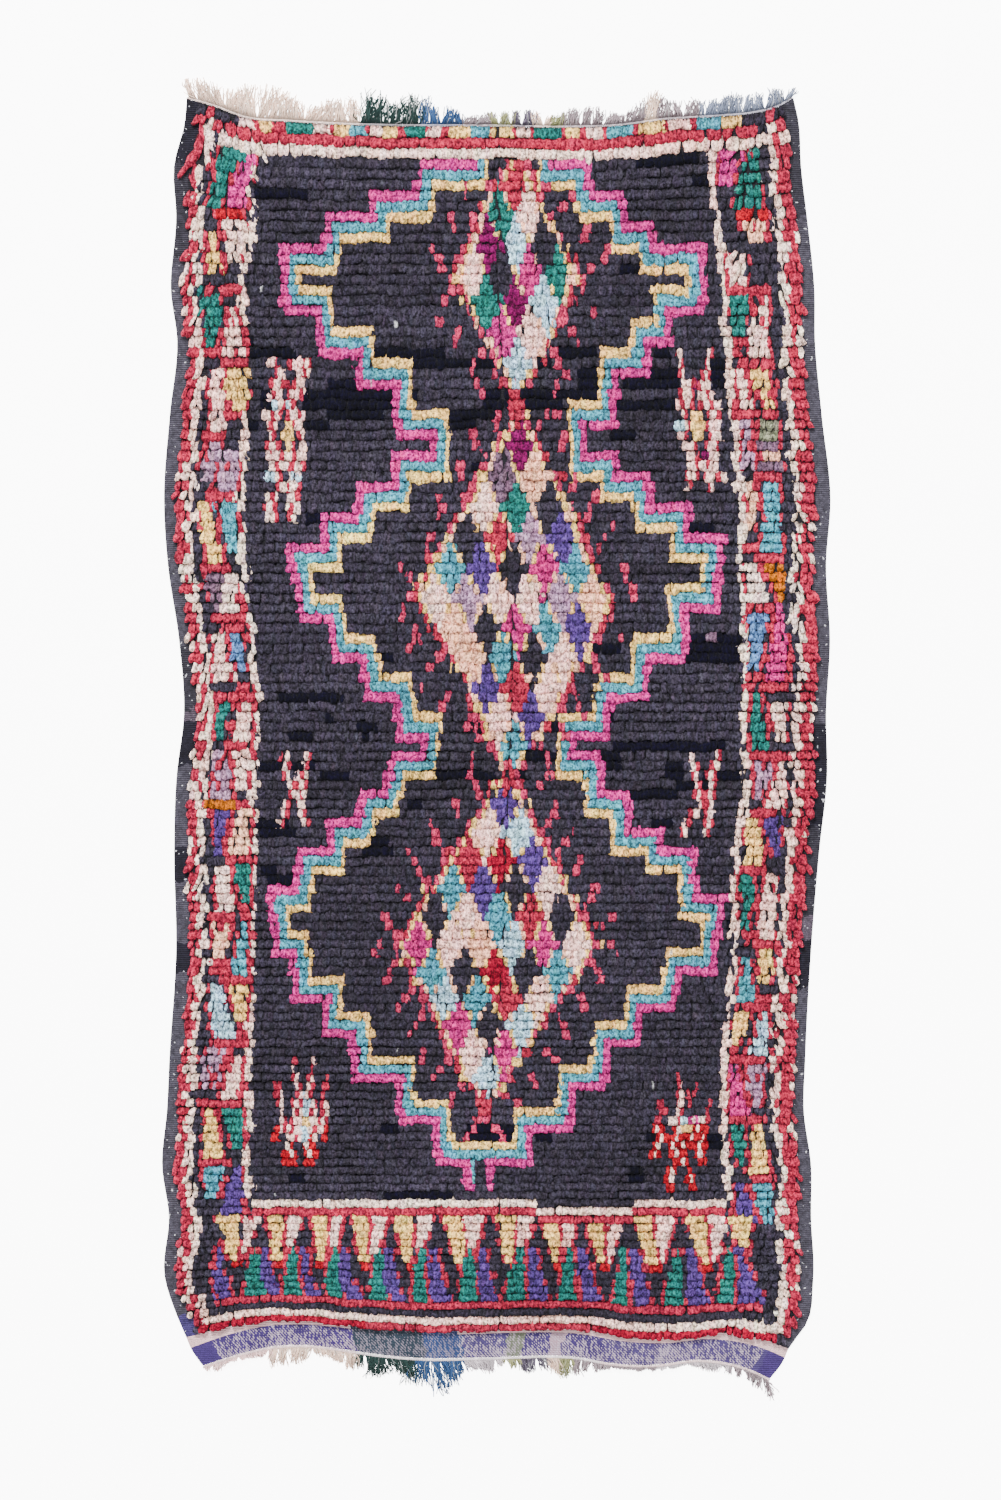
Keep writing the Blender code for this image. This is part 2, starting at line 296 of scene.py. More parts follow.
# %% Bars of nearly black yarn in the field
DARK_BARS = (
    (3.2, 4.2, 123, 140), (5, 6, 138, 144), (6, 7.5, 18, 33), (12.6, 13.6, 117, 129),
    (20, 21, 15.5, 17.5), (21.3, 22.3, 15.7, 29.5), (21.2, 22.3, 48.5, 69),
    (22, 23.5, 57, 83), (20.7, 22.5, 98, 109), (22, 22.9, 93.5, 97.5),
    (20.6, 21.8, 116, 119.5), (21, 21.8, 125, 129), (22.8, 25, 120, 131),
    (24, 25, 116, 130), (22.5, 24.7, 140, 144.5), (24.2, 25.2, 38.5, 46),
    (23.5, 25, 104, 111), (24.6, 25.8, 91, 111), (25.4, 26.8, 31, 56),
    (25, 26.5, 57.5, 62), (25.5, 26.7, 20.5, 23), (25.3, 27, 79, 87),
    (25.3, 27, 89, 100), (26, 27, 114, 131), (27, 28.3, 66.5, 82),
    (28.2, 29.3, 68.7, 77), (27.5, 28.5, 38, 53), (28.3, 29.4, 31, 39),
    (27.8, 29, 16, 20.5), (28.7, 30, 112.5, 119.5), (32.2, 33.3, 76.5, 80),
    (37.3, 38.3, 33.5, 37.5), (37.7, 38.6, 133.3, 139), (49.7, 50.6, 105.5, 114),
    (48.9, 51.9, 129, 145), (51.2, 52.2, 45.3, 52), (54, 58.3, 109, 112),
    (54.6, 55.9, 21.5, 38.5), (56.7, 57.7, 34, 36), (58.7, 59.6, 24, 31),
    (58.2, 59.2, 42.5, 48.5), (59.2, 60, 44, 46), (58, 58.9, 71.5, 76),
    (58.5, 59.5, 93.7, 98.5), (60.3, 61.5, 112, 142), (60.6, 62.6, 108, 114),
    (61.2, 62.2, 89, 99), (62, 63, 17, 33), (63, 64, 34.5, 42), (62.8, 63.8, 65.5, 81.5),
    (63, 64, 86.5, 89), (62.5, 63.6, 126, 131.5), (62.8, 63.8, 136, 146),
    (63.6, 64.8, 129.5, 139), (64.8, 66, 117, 130), (66.3, 67.5, 58.5, 62.5),
    (67.7, 68.8, 123, 129), (67.7, 69.3, 18.5, 27), (68.8, 69.6, 19, 29),
    (70.5, 71.3, 49, 54), (71.3, 72, 47, 55), (73, 74, 19, 24), (74, 75, 20.7, 28.5),
    (74, 75, 31.2, 35), (78.6, 79.6, 145.3, 148), (101.8, 103, 54.5, 58.8),
    (102.3, 103.6, 77, 91.5), (102.6, 103.8, 96.5, 99.6), (102.6, 103.6, 126, 128),
    (103.3, 104.6, 141.5, 146), (108, 109.2, 29.5, 34), (107.3, 108.6, 119.7, 124.3),
    (110, 111, 55.5, 73),
)
for top, foot, start, stop in DARK_BARS:
    lay(top, foot, start, stop, "n")
lay(49, 50.3, 136, 139, "u")          # one short length of mauve grey among them
print(len(DARK_BARS), "dark bars in the field")

# %% [markdown]
# ## The chain of medallions
#
# Three stepped medallions run into each other down the middle. Each step is about three
# rows high and ten knots long. Their outline is three lines of knots, pink, teal and
# yellow, one inside the other. The region inside the steps is filled first and then
# shrunk by one row and a knot or two at a time: what each shrinking takes away is one of
# the coloured lines, so the lines follow the steps by themselves.

# %% Stepped medallions
LEFT_STEPS = (
    (3, 63), (5.7, 50), (8.5, 37), (11.4, 25), (18.4, 34.5), (21.6, 44.5), (25.4, 54.5),
    (29.7, 65.3), (31.5, 55.5), (34.4, 46), (37.4, 37.5), (39.6, 27.3), (48.3, 35.5),
    (52.2, 43), (56.3, 52), (60, 60.5), (60.8, 52), (64.8, 45), (67.6, 37.5), (70.9, 29),
    (75.2, 20.5), (82.9, 27), (87.8, 36.5), (92.2, 45), (97, 57.5), (101.8, 67.5),
    (107, 76.5),
)
RIGHT_STEPS = (
    (3, 111), (6.1, 119.5), (8.7, 126.5), (11.4, 141), (18, 130.5), (20.6, 124),
    (24, 115), (29.2, 106), (30.8, 113.7), (33, 122.3), (36, 132.8), (38.7, 142.8),
    (47.2, 132.5), (52, 121.7), (56.3, 111.7), (60.5, 101.7), (61.5, 109.3),
    (65.5, 117.5), (68.6, 127), (71.5, 136), (76, 144.7), (84.8, 134), (88.8, 124.5),
    (93.4, 116.3), (98, 107.5), (102.8, 95.5), (107.5, 84),
)
OPEN_TOP = (77, 101)      # the first medallion stays open between these knots
CHAIN_FIRST_ROW = 3
CHAIN_END = 110.5
TIP_GAP = (106.4, CHAIN_END, 79, 82)  # rows and knots where the last tip stays open
LINE_KNOTS = (("p", 2), ("t", 2), ("y", 1))   # each line's yarn, and how many knots wide
STEP_SLANT = 0.25         # knots that a step's upright part moves in a row
PAD = 4                   # spare rows round the chart, so that shrinking stays inside


def step_at(steps, row):
    """The knot at which a row's step lies: each step slants a little towards the next."""
    starts = [start for start, _ in steps]
    place = max(0, np.searchsorted(starts, row, side="right") - 1)
    start, knot = steps[place]
    following = steps[min(place + 1, len(steps) - 1)][1]
    return knot + STEP_SLANT * (row - start) * np.sign(following - knot)


def shrink(region, rows, knots):
    """The region less a margin of some rows and knots."""
    inner = region.copy()
    for row_step in range(-rows, rows + 1):
        for knot_step in range(-knots, knots + 1):
            inner &= np.roll(region, (row_step, knot_step), (0, 1))
    return inner


medallions = np.zeros((ROWS + 2 * PAD, KNOTS), bool)
for row in range(-PAD, ROWS + PAD):
    middle = row + 0.5
    if middle < CHAIN_FIRST_ROW:
        start, stop = OPEN_TOP
    elif middle < CHAIN_END:
        start, stop = step_at(LEFT_STEPS, middle), step_at(RIGHT_STEPS, middle)
    else:
        start, stop = 0, 0
    medallions[row + PAD] = (knot_mid >= start) & (knot_mid < stop)

for yarn, margin in LINE_KNOTS:
    inner = shrink(medallions, 1, margin)
    line = (medallions & ~inner)[PAD:PAD + ROWS]
    line[:CHAIN_FIRST_ROW] = False
    chart[line] = yarn
    medallions = inner
lay(*TIP_GAP, "k")
print(int(np.isin(chart, ("p", "t", "y")).sum()), "knots in the stepped lines")

# %% [markdown]
# ## The lozenges
#
# A large lozenge of small diamonds fills each medallion. The diamonds lie on a lattice,
# three rows down and half a diamond sideways, so a lozenge needs only the colours of its
# diamonds, line by line. Yellow knots show between the diamonds, and a ragged coral edge
# runs round them all.

# %% Lozenges of small diamonds
Lozenge = namedtuple("Lozenge", "first_row last_row first_middle last_middle pitch lines")
LOZENGES = (
    Lozenge(5.3, 22.7, 90, 87.8, 7.6, ("c", "gq", "mbk", "qkhg", "gmb", "pq", "b")),
    Lozenge(30.5, 60.7, 88, 84.7, 8.25,
            ("m", "ue", "qgk", "kclv", "tvkht", "qlqqle", "ekhtv", "etkq", "vcq", "qv", "t")),
    Lozenge(66.5, 96.6, 84.2, 82.5, 8.5,
            ("v", "qb", "cxv", "tvkq", "kqtck", "hqebhq", "tkxkt", "btcq", "hkb", "qh", "b")),
)
ROW_GRID, KNOT_GRID = np.meshgrid(row_mid, knot_mid, indexing="ij")


def diamonds(lozenge):
    """Each small diamond's middle row, middle knot and yarn."""
    count = len(lozenge.lines)
    for number, line in enumerate(lozenge.lines):
        t = number / (count - 1)
        row = lozenge.first_row + (lozenge.last_row - lozenge.first_row) * t
        middle = lozenge.first_middle + (lozenge.last_middle - lozenge.first_middle) * t
        for place, yarn in enumerate(line):
            yield row, middle + (place - (len(line) - 1) / 2) * lozenge.pitch, yarn


# Half heights and half widths, in rows and knots.
HALO, CORNERS, DIAMOND, TIP = (4.6, 6.8), (3.6, 5.0), (3.0, 3.4), (2.2, 2.4)
STEM, WINGS = (3.0, 0.6), (0.5, 3.9)
HALO_RAGGED = (0.84, 1.20)
HALO_YARNS = (("c", 0.84), ("a", 0.48))       # yarns, and the chance under which each is used
HALO_YELLOW = 0.91        # the chance over which the halo is yellow
CORNER_YELLOW = 0.5       # share of the knots between the diamonds that stay yellow
COARSE_TIPS = ((2.6, 91), (26.6, 87.5), (64.0, 84.5), (99.7, 82))


def reach_from(row, knot, half):
    """How far each knot lies from a place, as a share of a diamond of this half size."""
    return np.abs(ROW_GRID - row) / half[0] + np.abs(KNOT_GRID - knot) / half[1]


def points_of(row, knot):
    """The single knots at a small diamond's top and bottom, and its wide middle row."""
    off_row, off_knot = np.abs(ROW_GRID - row), np.abs(KNOT_GRID - knot)
    stem = (off_row < STEM[0]) & (off_knot < STEM[1])
    wings = (off_row < WINGS[0]) & (off_knot < WINGS[1])
    return stem | wings


for lozenge in LOZENGES:
    ragged = hand.uniform(*HALO_RAGGED, (ROWS, KNOTS))
    chance = hand.random((ROWS, KNOTS))
    halo = np.zeros((ROWS, KNOTS), bool)
    for row, knot, _ in diamonds(lozenge):
        halo |= reach_from(row, knot, HALO) * ragged < 1
    for yarn, most in HALO_YARNS:
        chart[halo & (chance < most)] = yarn
    chart[halo & (chance > HALO_YELLOW)] = "y"
    for row, knot, _ in diamonds(lozenge):
        corners = reach_from(row, knot, CORNERS) < 1
        chart[corners] = "y"
        chart[corners & (chance > CORNER_YELLOW)] = "e"
    for row, knot, yarn in diamonds(lozenge):
        chart[(reach_from(row, knot, DIAMOND) < 1) | points_of(row, knot)] = yarn
    print("lozenge of", sum(len(line) for line in lozenge.lines), "diamonds")

for row, knot in COARSE_TIPS:
    chart[reach_from(row, knot, TIP) < 1] = "c"

# %% [markdown]
# Short slanting strokes of coral stand off the lozenges on both sides, two or three knots
# each, like the legs of an insect. They are counted off one by one, because no two lie
# quite the same.

# %% Coral strokes beside the lozenges
LEFT_STROKES = (
    (76, 5.9, 77.5, 8), (71, 8.5, 72.5, 9.8), (66, 11.7, 68, 13.3), (71, 15.5, 67, 18),
    (72.3, 19.8, 71.3, 20.7), (78, 21.6, 75.5, 23.7), (76.5, 24.5, 78.7, 25.4),
    (82, 27, 82.5, 28.5), (75.3, 29.6, 78.2, 32), (72, 32.5, 73.8, 35),
    (67.5, 35.5, 67.5, 37), (65, 39, 64.5, 40.7), (57.5, 42.3, 59, 43), (58, 45.5, 55.5, 47.4),
    (59.5, 48.3, 57, 50.8), (64, 51.5, 59.8, 54), (66, 55.6, 64.5, 56.8),
    (72.3, 57.3, 71, 58.3), (75.7, 59.9, 73.5, 63.3), (75.3, 64.4, 76.5, 65.7),
    (70, 66, 71.5, 67.2), (64.5, 68.5, 68, 71.5), (59.5, 71.7, 63, 74.3), (56, 75, 58, 76),
    (52.5, 78.3, 55.3, 80.4), (51, 81.4, 49, 82.4), (55, 83.6, 53, 85.5), (60, 86.3, 57, 88),
    (65, 87.3, 61.2, 91.3), (65.5, 93.3, 64.3, 94), (71.5, 94.7, 68.3, 96.7),
    (75.3, 97.7, 72, 99.6), (79.7, 101, 76.7, 103),
)
RIGHT_STROKES = (
    (98.5, 5.4, 97, 6.3), (105, 6.5, 102.5, 7.7), (108, 9, 107, 10), (113.5, 11.6, 112, 12.3),
    (108, 13.5, 106, 15.7), (108, 17.2, 109, 17.2), (100.5, 18.5, 104, 20.5),
    (97, 21.5, 100.5, 23.5), (98, 24.3, 97, 25.3), (97, 27, 93, 28.5), (99, 29.4, 98.5, 30.5),
    (102.3, 33.5, 101, 34.5), (107.5, 35.3, 105.3, 37.3), (112, 38, 108.8, 40.3),
    (115, 42, 117.8, 45.7), (111, 47.8, 113.5, 49), (105.5, 51.5, 108.3, 53.7),
    (101.3, 55.1, 103.5, 57.2), (97.5, 58, 98.5, 59.3), (94, 61.7, 94, 63.5),
    (95.5, 63, 92.5, 64.6), (97.5, 66.6, 95, 68.5), (102.2, 69.5, 98, 71.3),
    (104.8, 72.5, 103, 73.4), (108.7, 75.5, 106.7, 77), (113, 78.9, 109.3, 81),
    (113.7, 81.7, 115.5, 82.9), (109, 83.8, 111.8, 85.7), (104.8, 86.6, 107.3, 88.4),
    (101, 89.5, 103.5, 91.8), (98, 93.5, 100, 94.5), (94.7, 96.4, 95.5, 97.2),
    (88.6, 98.2, 90, 99), (82.7, 101, 86, 103),
)
for stroke in LEFT_STROKES + RIGHT_STROKES:
    lay_stroke(*stroke, "a")
print(len(LEFT_STROKES + RIGHT_STROKES), "coral strokes")

# %% [markdown]
# ## The little figures
#
# Six small figures stand in the corners of the field: two with long legs at the top, a
# small cross at each side of the middle, and two with red feet at the bottom. Each is a
# dozen rows or so, and the plainest way to write it is the weaver's own: one letter for
# each knot.

# %% Six small figures, knot by knot
lay_rows(22, 21, (
    "qqc...cqqcqc", "..cqq...qqcq", ".cqqcc.cqqq.", ".qcqq.cqqcq.", "..bbqcbqc...",
    "qqcqc.cqqcq.", ".qcq..yycqq.", "..qc.yyy.cq.", ".cqqc.yqc.qq", ".qcqqcqqcqqq",
    "..qqcqqccqqc", "..bbqc.qbbq.", "....cqqcqqc.", "..qcq..qqc..", ".cqqc..qcqq.",
    "..wwc..cww..",
))
lay_rows(21, 128, (
    "..cq.......qc.", "...qc.....cq..", "...cq....cqc..", "....qqcmcqq...",
    "...cqqc.qqcq..", "..qcqqc.cqqcqq", "...qc.yyy.cqqc", ".bbbqcyyyycqqq",
    "..qqc.yyy.cqqq", "...qqqc..cqqc.", "....qqc.mmqq..", "....qqcqqcqq..",
    "...cqqc.cqqcqq", "...qc....cq...",
))
lay_rows(61, 23, (
    "cq....qc.", ".qc...qc.", ".cq..qcq.", "...qccqc.", "...cqqcq.", "..qc.cqq.",
    "..qc..qc.", ".qc....qc",
))
lay_rows(61, 131, (
    ".cq.....qc", "..qc...cq.", "..cq..cqc.", "...qc..qc.", "...cqccqc.", "....qccq..",
    "..cqq.cq..", ".qc...cqc.", "cq....qc..",
))
lay_rows(94, 25, (
    ".....c....q.....", ".....q....c.....", ".....cq..cq...c.", "cc....qc.qc..cc.",
    "ccq...cqbqc..c..", ".cq..cqcbbqc.cq.", "..q..qcqbbcq.cq.", "..qc.cqqyyqqcqc.",
    ".rqcqcqqbbqcqqr.", "rr..qqcqbbrq.rr.", "....wr..rwrr....", "...rrwr..rwrr...",
    "...rrrr..rrr....",
))
lay_rows(96, 125, (
    ".........c.........", ".........cq...c....", ".........cq.cc.....",
    "....cc...cq.c.....c", "....ccc..qc......c.", "...cc..wwcbbpqpwwc.",
    "..rwrr..rwyyyrwrr..", "...rwrrrwrrrwrrwr..", "..rw..rwrrwrrrwrr..",
    ".rwr..rrwrr..rwr...", ".......rrwr...rr...", ".....rwr..rr.......",
    "....rrw...rwr......", ".....rr....rr......",
))

# %% [markdown]
# ## The borders
#
# Each long border is two interlocked columns of tapering blocks between a cream line
# against the field and two ragged lines, cream and coral, along the selvedge. A coral
# bar closes many of the blocks. The blocks are listed with the rows they span and the
# knots between which they start and end, and their single coral knots of edging are laid
# by the function above.

# %% Long borders: the lines along their edges
LEFT_FIELD_LINE = ((3, 17), (10, 16.3), (15, 15.5), (20, 14), (27, 16.5), (35, 15.6),
                   (40, 16), (50, 15), (60, 15.3), (70, 17.3), (80, 16), (90, 17),
                   (100, 18.3), (111, 18.5))
RIGHT_FIELD_LINE = ((3, 144), (15, 144.5), (25, 145), (35, 146), (45, 147), (50, 146.5),
                    (65, 148), (75, 146), (80, 147.8), (90, 147.2), (100, 147.2),
                    (105, 146), (113, 147))


def line_at(line, row):
    """Where a lengthwise line lies in a row."""
    return np.interp(row, [place[0] for place in line], [place[1] for place in line])


LINE_WAVER = 0.4          # how far single rows stray from a line, in knots
FIELD_LINE_HALF = (0.8, 1.3)
for row in range(3, 111):
    left = line_at(LEFT_FIELD_LINE, row) + hand.uniform(-LINE_WAVER, LINE_WAVER)
    half = hand.uniform(*FIELD_LINE_HALF)
    right = line_at(RIGHT_FIELD_LINE, row) + hand.uniform(-LINE_WAVER, LINE_WAVER)
    for middle in (left, right):
        lay(row, row + 1, middle - half, middle + half, "w")

ZIGZAG = 0.75             # how far the outer lines swing, in knots
SWING_WAVER = 0.5
CREAM_SWING = 0.6         # how much of the coral's swing the cream line follows
CREAM_TIP_SHARE = 0.14    # share of the rows whose outermost knots are cream
CREAM_TIP = (0.6, 1.8)
CORAL_WIDTH, CREAM_END = 2.3, 4.3             # the left lines, counted from the selvedge
RIGHT_CORAL, RIGHT_CREAM = 161.6, 159.6       # where the right lines start
# Towards the bottom end the left lines move in, by this many knots over these rows.
PINCH_FROM, PINCH_ROWS, PINCH_KNOTS = 122, 5, 1.8


def outer_swing(row, turn, phase):
    """How far a row's coral and cream lines swing, and how wide its cream tip is."""
    swing = ZIGZAG * math.sin(row * turn + phase) + hand.uniform(-SWING_WAVER, SWING_WAVER)
    cream_swing = CREAM_SWING * swing + hand.uniform(-LINE_WAVER, LINE_WAVER)
    tip = hand.uniform(*CREAM_TIP) if hand.random() < CREAM_TIP_SHARE else 0
    return swing, cream_swing, tip


for row in range(1, 127):
    swing, cream_swing, tip = outer_swing(row, 1.9, 0.0)
    pinch = PINCH_KNOTS * max(0.0, (row - PINCH_FROM) / PINCH_ROWS)
    middle = CORAL_WIDTH + swing + pinch
    lay(row, row + 1, 0, middle, "c")
    lay(row, row + 1, middle, CREAM_END + cream_swing + pinch, "w")
    lay(row, row + 1, 0, tip, "w")
    swing, cream_swing, tip = outer_swing(row, 1.7, 1.0)
    middle = RIGHT_CORAL + swing
    lay(row, row + 1, middle, KNOTS, "c")
    lay(row, row + 1, RIGHT_CREAM + cream_swing, middle, "w")
    lay(row, row + 1, KNOTS - tip, KNOTS, "w")

# %% Long borders: the left one's two columns of blocks
LEFT_OUTER = as_blocks((
    (3, 8, 6.5, 13, 7, 9.5, "g"), (9.8, 14.5, 4.5, 6.5, 7.5, 11.5, "y"),
    (15.3, 21.3, 5.3, 11.4, 4.8, 6.3, "g"), (21.4, 22.4, 4, 8.5, "c"),
    (23, 28.9, 6, 8.7, 7, 11, "q"), (29, 30, 6, 11, "c"), (30, 34, 6, 10, 6, 9, "l"),
    (36, 41.6, 5.3, 8, 7, 11.5, "y"), (41.6, 42.6, 5.7, 11.5, "c"),
    (42.7, 46.8, 6, 10.8, 7, 9.5, "u"), (47, 48.5, 6, 8, "c"), (49, 54.5, 6, 8.5, 5, 11, "q"),
    (54.7, 55.7, 4.5, 10.3, "c"), (55.9, 59.7, 5, 9.2, 5, 6.5, "g"),
    (60.8, 66, 4.9, 8, 6.5, 11, "l"), (66.2, 67.2, 5, 12, "o"),
    (67.2, 71.8, 6.7, 11, 7.3, 8.8, "v"), (72.8, 77.8, 7.5, 10, 6.5, 12.6, "q"),
    (78, 79, 6, 12, "c"), (79, 83.3, 6, 11, 6.3, 8.5, "e"), (83.5, 85, 6, 9, "c"),
    (86, 91.8, 5.5, 8, 7.7, 14, "b"), (92, 93, 8, 13, "c"), (93, 98.5, 6.6, 12.7, 6, 10, "l"),
    (99.4, 100.4, 5.7, 9.3, "c"), (100.5, 105.6, 7, 9.5, 7, 12.5, "y"),
    (105.6, 106.6, 7, 14.5, "c"), (106.6, 111.5, 7.5, 14, 7.5, 9.5, "t"),
))
LEFT_INNER = as_blocks((
    (3, 8, 13.5, 16, 10.5, 15.5, "p"), (8, 9, 7, 14.5, "r"), (9, 13, 8.5, 15.5, 11.5, 14, "q"),
    (14.6, 15.6, 6, 15, "c"), (17, 22, 12, 14, 8.5, 15, "q"), (22, 23, 8.3, 15, "c"),
    (23, 27.5, 9.5, 15.5, 12.5, 16, "y"), (27.5, 28.4, 11, 14.5, "c"), (31, 35, 10, 14.6, "l"),
    (35.2, 36.2, 8.6, 14.8, "c"), (36.3, 41, 9.7, 15, 13, 15, "t"),
    (43, 47.4, 11, 14.6, 9, 14.3, "q"), (47.5, 48.6, 8.5, 14.5, "c"),
    (49, 53.3, 9.7, 13.5, 11, 13, "s"), (54, 55.8, 11, 13.7, "c"),
    (55.9, 60, 11, 14.4, 9.3, 14.5, "q"), (60.2, 61.2, 8.3, 14.5, "c"),
    (61.2, 65.5, 9.5, 14.8, 13, 15, "q"), (66, 67, 12.5, 15.5, "c"),
    (67.5, 71.8, 13, 16, 10.5, 15.5, "e"), (72, 73, 10.2, 16.4, "c"),
    (73, 76.7, 11.2, 16.4, 13.7, 16, "g"), (77, 78.7, 13.5, 15.6, "c"),
    (79, 84.6, 13.5, 15.3, 10.8, 15.4, "t"), (84.8, 85.8, 9.2, 16, "c"),
    (86, 89.7, 10.6, 15.8, 13.5, 16, "y"), (90, 93.5, 14.5, 16.2, "c"),
    (94, 99.3, 14, 16.4, 10, 16, "q"), (99.4, 100.4, 10.2, 17, "c"),
    (100.5, 105.3, 11.5, 17.3, 15, 17.3, "g"), (107, 112.6, 15.5, 17.2, 10, 16.3, "v"),
))
lay_blocks(LEFT_OUTER + LEFT_INNER)

# %% Long borders: the right one's two columns of blocks
RIGHT_INNER = as_blocks((
    (3, 6.5, 146, 152, 145.5, 149, "p"), (12, 14.6, 146, 151, "q"),
    (14.8, 15.8, 146, 152.3, "c"), (16, 20.3, 146, 151.8, 146.3, 149, "g"),
    (20.5, 22.5, 146.5, 148.3, "c"), (22.8, 27, 146.5, 148.5, 146.8, 151.8, "q"),
    (27.2, 28.2, 146.5, 152.4, "c"), (28.3, 33, 147, 150.5, "l"),
    (34.5, 39.5, 147.3, 149.5, 147.5, 150.3, "e"), (40.5, 41.5, 147.5, 150.5, "c"),
    (41.8, 45.6, 147.5, 150.5, 148.3, 153.7, "q"), (45.6, 46.8, 148, 153.2, "c"),
    (47.2, 52.7, 148, 153.2, 148.3, 150, "s"), (52.7, 55.5, 148, 150, "c"),
    (55.5, 60.6, 148.7, 150.8, 149.5, 154, "g"), (60.7, 61.7, 149.5, 155.5, "c"),
    (61.7, 66, 149.8, 155, 149.6, 152, "l"), (67, 68, 149.4, 150.9, "c"),
    (68, 73, 149.2, 152, 148.9, 154.7, "y"), (73.2, 74.2, 148, 153.7, "c"),
    (74.3, 80, 148, 152.5, 149.5, 151, "g"), (80, 81.5, 149.5, 151.5, "c"),
    (83, 87.7, 150, 152, 149.4, 154.5, "t"), (87.6, 88.6, 149, 154.8, "c"),
    (88.6, 92.7, 149.6, 154, 149, 151, "y"), (93.3, 95, 148.6, 150, "c"),
    (95.3, 101, 148.4, 150, 149, 154, "h"), (101.2, 102.3, 149, 153.3, "c"),
    (102.4, 107.3, 149.3, 152.5, 148.7, 150.4, "g"),
    (109, 113.9, 148.7, 151, 148.5, 154.5, "v"),
))
RIGHT_OUTER = as_blocks((
    (3, 8, 154, 156.5, 149.5, 157.3, "g"), (8.1, 9.1, 150.5, 158, "r"),
    (9.2, 11.5, 151, 157, 153, 156, "e"), (14.8, 15.8, 152, 157, "c"),
    (16, 21.8, 154, 155.8, 149.8, 156.3, "q"), (22, 23, 149.3, 157.3, "c"),
    (23, 27, 150.3, 156.5, 154, 156.5, "y"), (27.2, 28.2, 153.7, 157.3, "c"),
    (28.2, 30, 151.8, 157, "i"), (30, 31, 151.5, 157, "u"), (31, 32, 151.5, 157, "e"),
    (32, 33.4, 151.5, 157, "u"), (33.5, 34.5, 149.5, 156, "c"),
    (34.5, 40.6, 152, 156, 151.7, 156.8, "t"), (40.6, 41.6, 151.2, 157.3, "c"),
    (41.6, 45.8, 152.2, 157.5, 156, 158, "o"), (46.5, 54, 155, 157, 151.3, 157.5, "h"),
    (54.2, 55.5, 151.5, 157.8, "c"), (55.7, 60.3, 153, 158, 156.8, 158.3, "q"),
    (60.7, 61.7, 156.5, 158.6, "c"), (61.7, 67, 156, 158, 153, 158.2, "q"),
    (67.1, 68.1, 151.7, 158, "c"), (68.2, 72.5, 153, 158, 156.3, 157.8, "v"),
    (74.2, 80.7, 155, 157.5, 153.3, 158.3, "q"), (80.8, 81.8, 151.8, 158, "c"),
    (82, 86.5, 153.7, 158, 155.5, 158, "y"), (86.8, 88.7, 156, 158, "c"),
    (89, 94.3, 156.3, 158.3, 152.7, 158, "b"), (94.4, 95.5, 151.7, 157.6, "c"),
    (95.5, 100.5, 151.8, 157.6, 155.5, 157, "l"), (101.4, 102.4, 155, 157.6, "c"),
    (102.5, 108, 154.7, 156.7, 151.7, 157.5, "y"), (108, 109, 152.3, 158, "c"),
    (109, 113.7, 152.5, 158, 156, 157.5, "t"),
))
lay_blocks(RIGHT_INNER + RIGHT_OUTER)
print(len(LEFT_OUTER + LEFT_INNER + RIGHT_INNER + RIGHT_OUTER), "blocks in the long borders")

# %% [markdown]
# The end borders are simpler. The top one is a single row of coloured oblongs over a
# coral and a cream row. The bottom one is a row of yellow and white points that hang
# into a row of green and purple points, closed by coral, charcoal, cream and crimson
# rows. The two bands above those points sink by a row where the weaver lost count.

# %% Top border
TOP_OBLONGS = (
    (10, 14, "q"), (16, 20, "y"), (24, 31, "g"), (32, 37, "q"), (38, 42.5, "y"),
    (42.5, 47, "t"), (48, 52, "q"), (52, 56, "y"), (58, 64, "g"), (65, 69.5, "q"),
    (71, 77, "y"), (77, 83, "t"), (84.5, 89, "y"), (90, 94, "q"), (95.5, 103, "g"),
    (104, 108, "y"), (110, 115, "q"), (116.5, 123.5, "t"), (125.5, 132, "y"),
    (133, 139, "q"), (141.5, 148, "t"), (148.5, 154.5, "y"), (155, 158, "k"),
)
TOP_BARS = (
    (0, 0, KNOTS, "k"), (0, 2, 4.5, "c"), (0, 160, 163, "c"), (0, 14, 154, "c"),
    (1, 5, 158, "c"), (2, 5, 160, "w"), *((0, *oblong) for oblong in TOP_OBLONGS),
)
for row, start, stop, yarn in TOP_BARS:
    lay(row, row + 1, start, stop, yarn)

# %% Bottom border
SINK_FROM, SINK_TO = 95, 120


def sink(knot):
    """How many rows the bands have sunk at a knot."""
    return 1.0 if SINK_FROM <= knot <= SINK_TO else 0.0


CREAM_ROW, CORAL_ROW, POINTS_ROW = 111, 112, 113
for knot in range(19, 146):
    fall = sink(knot)
    lay(CREAM_ROW + fall, CREAM_ROW + 1 + fall, knot, knot + 1, "w")
    lay(CORAL_ROW + fall, CORAL_ROW + 1 + fall, knot, knot + 1, "c")

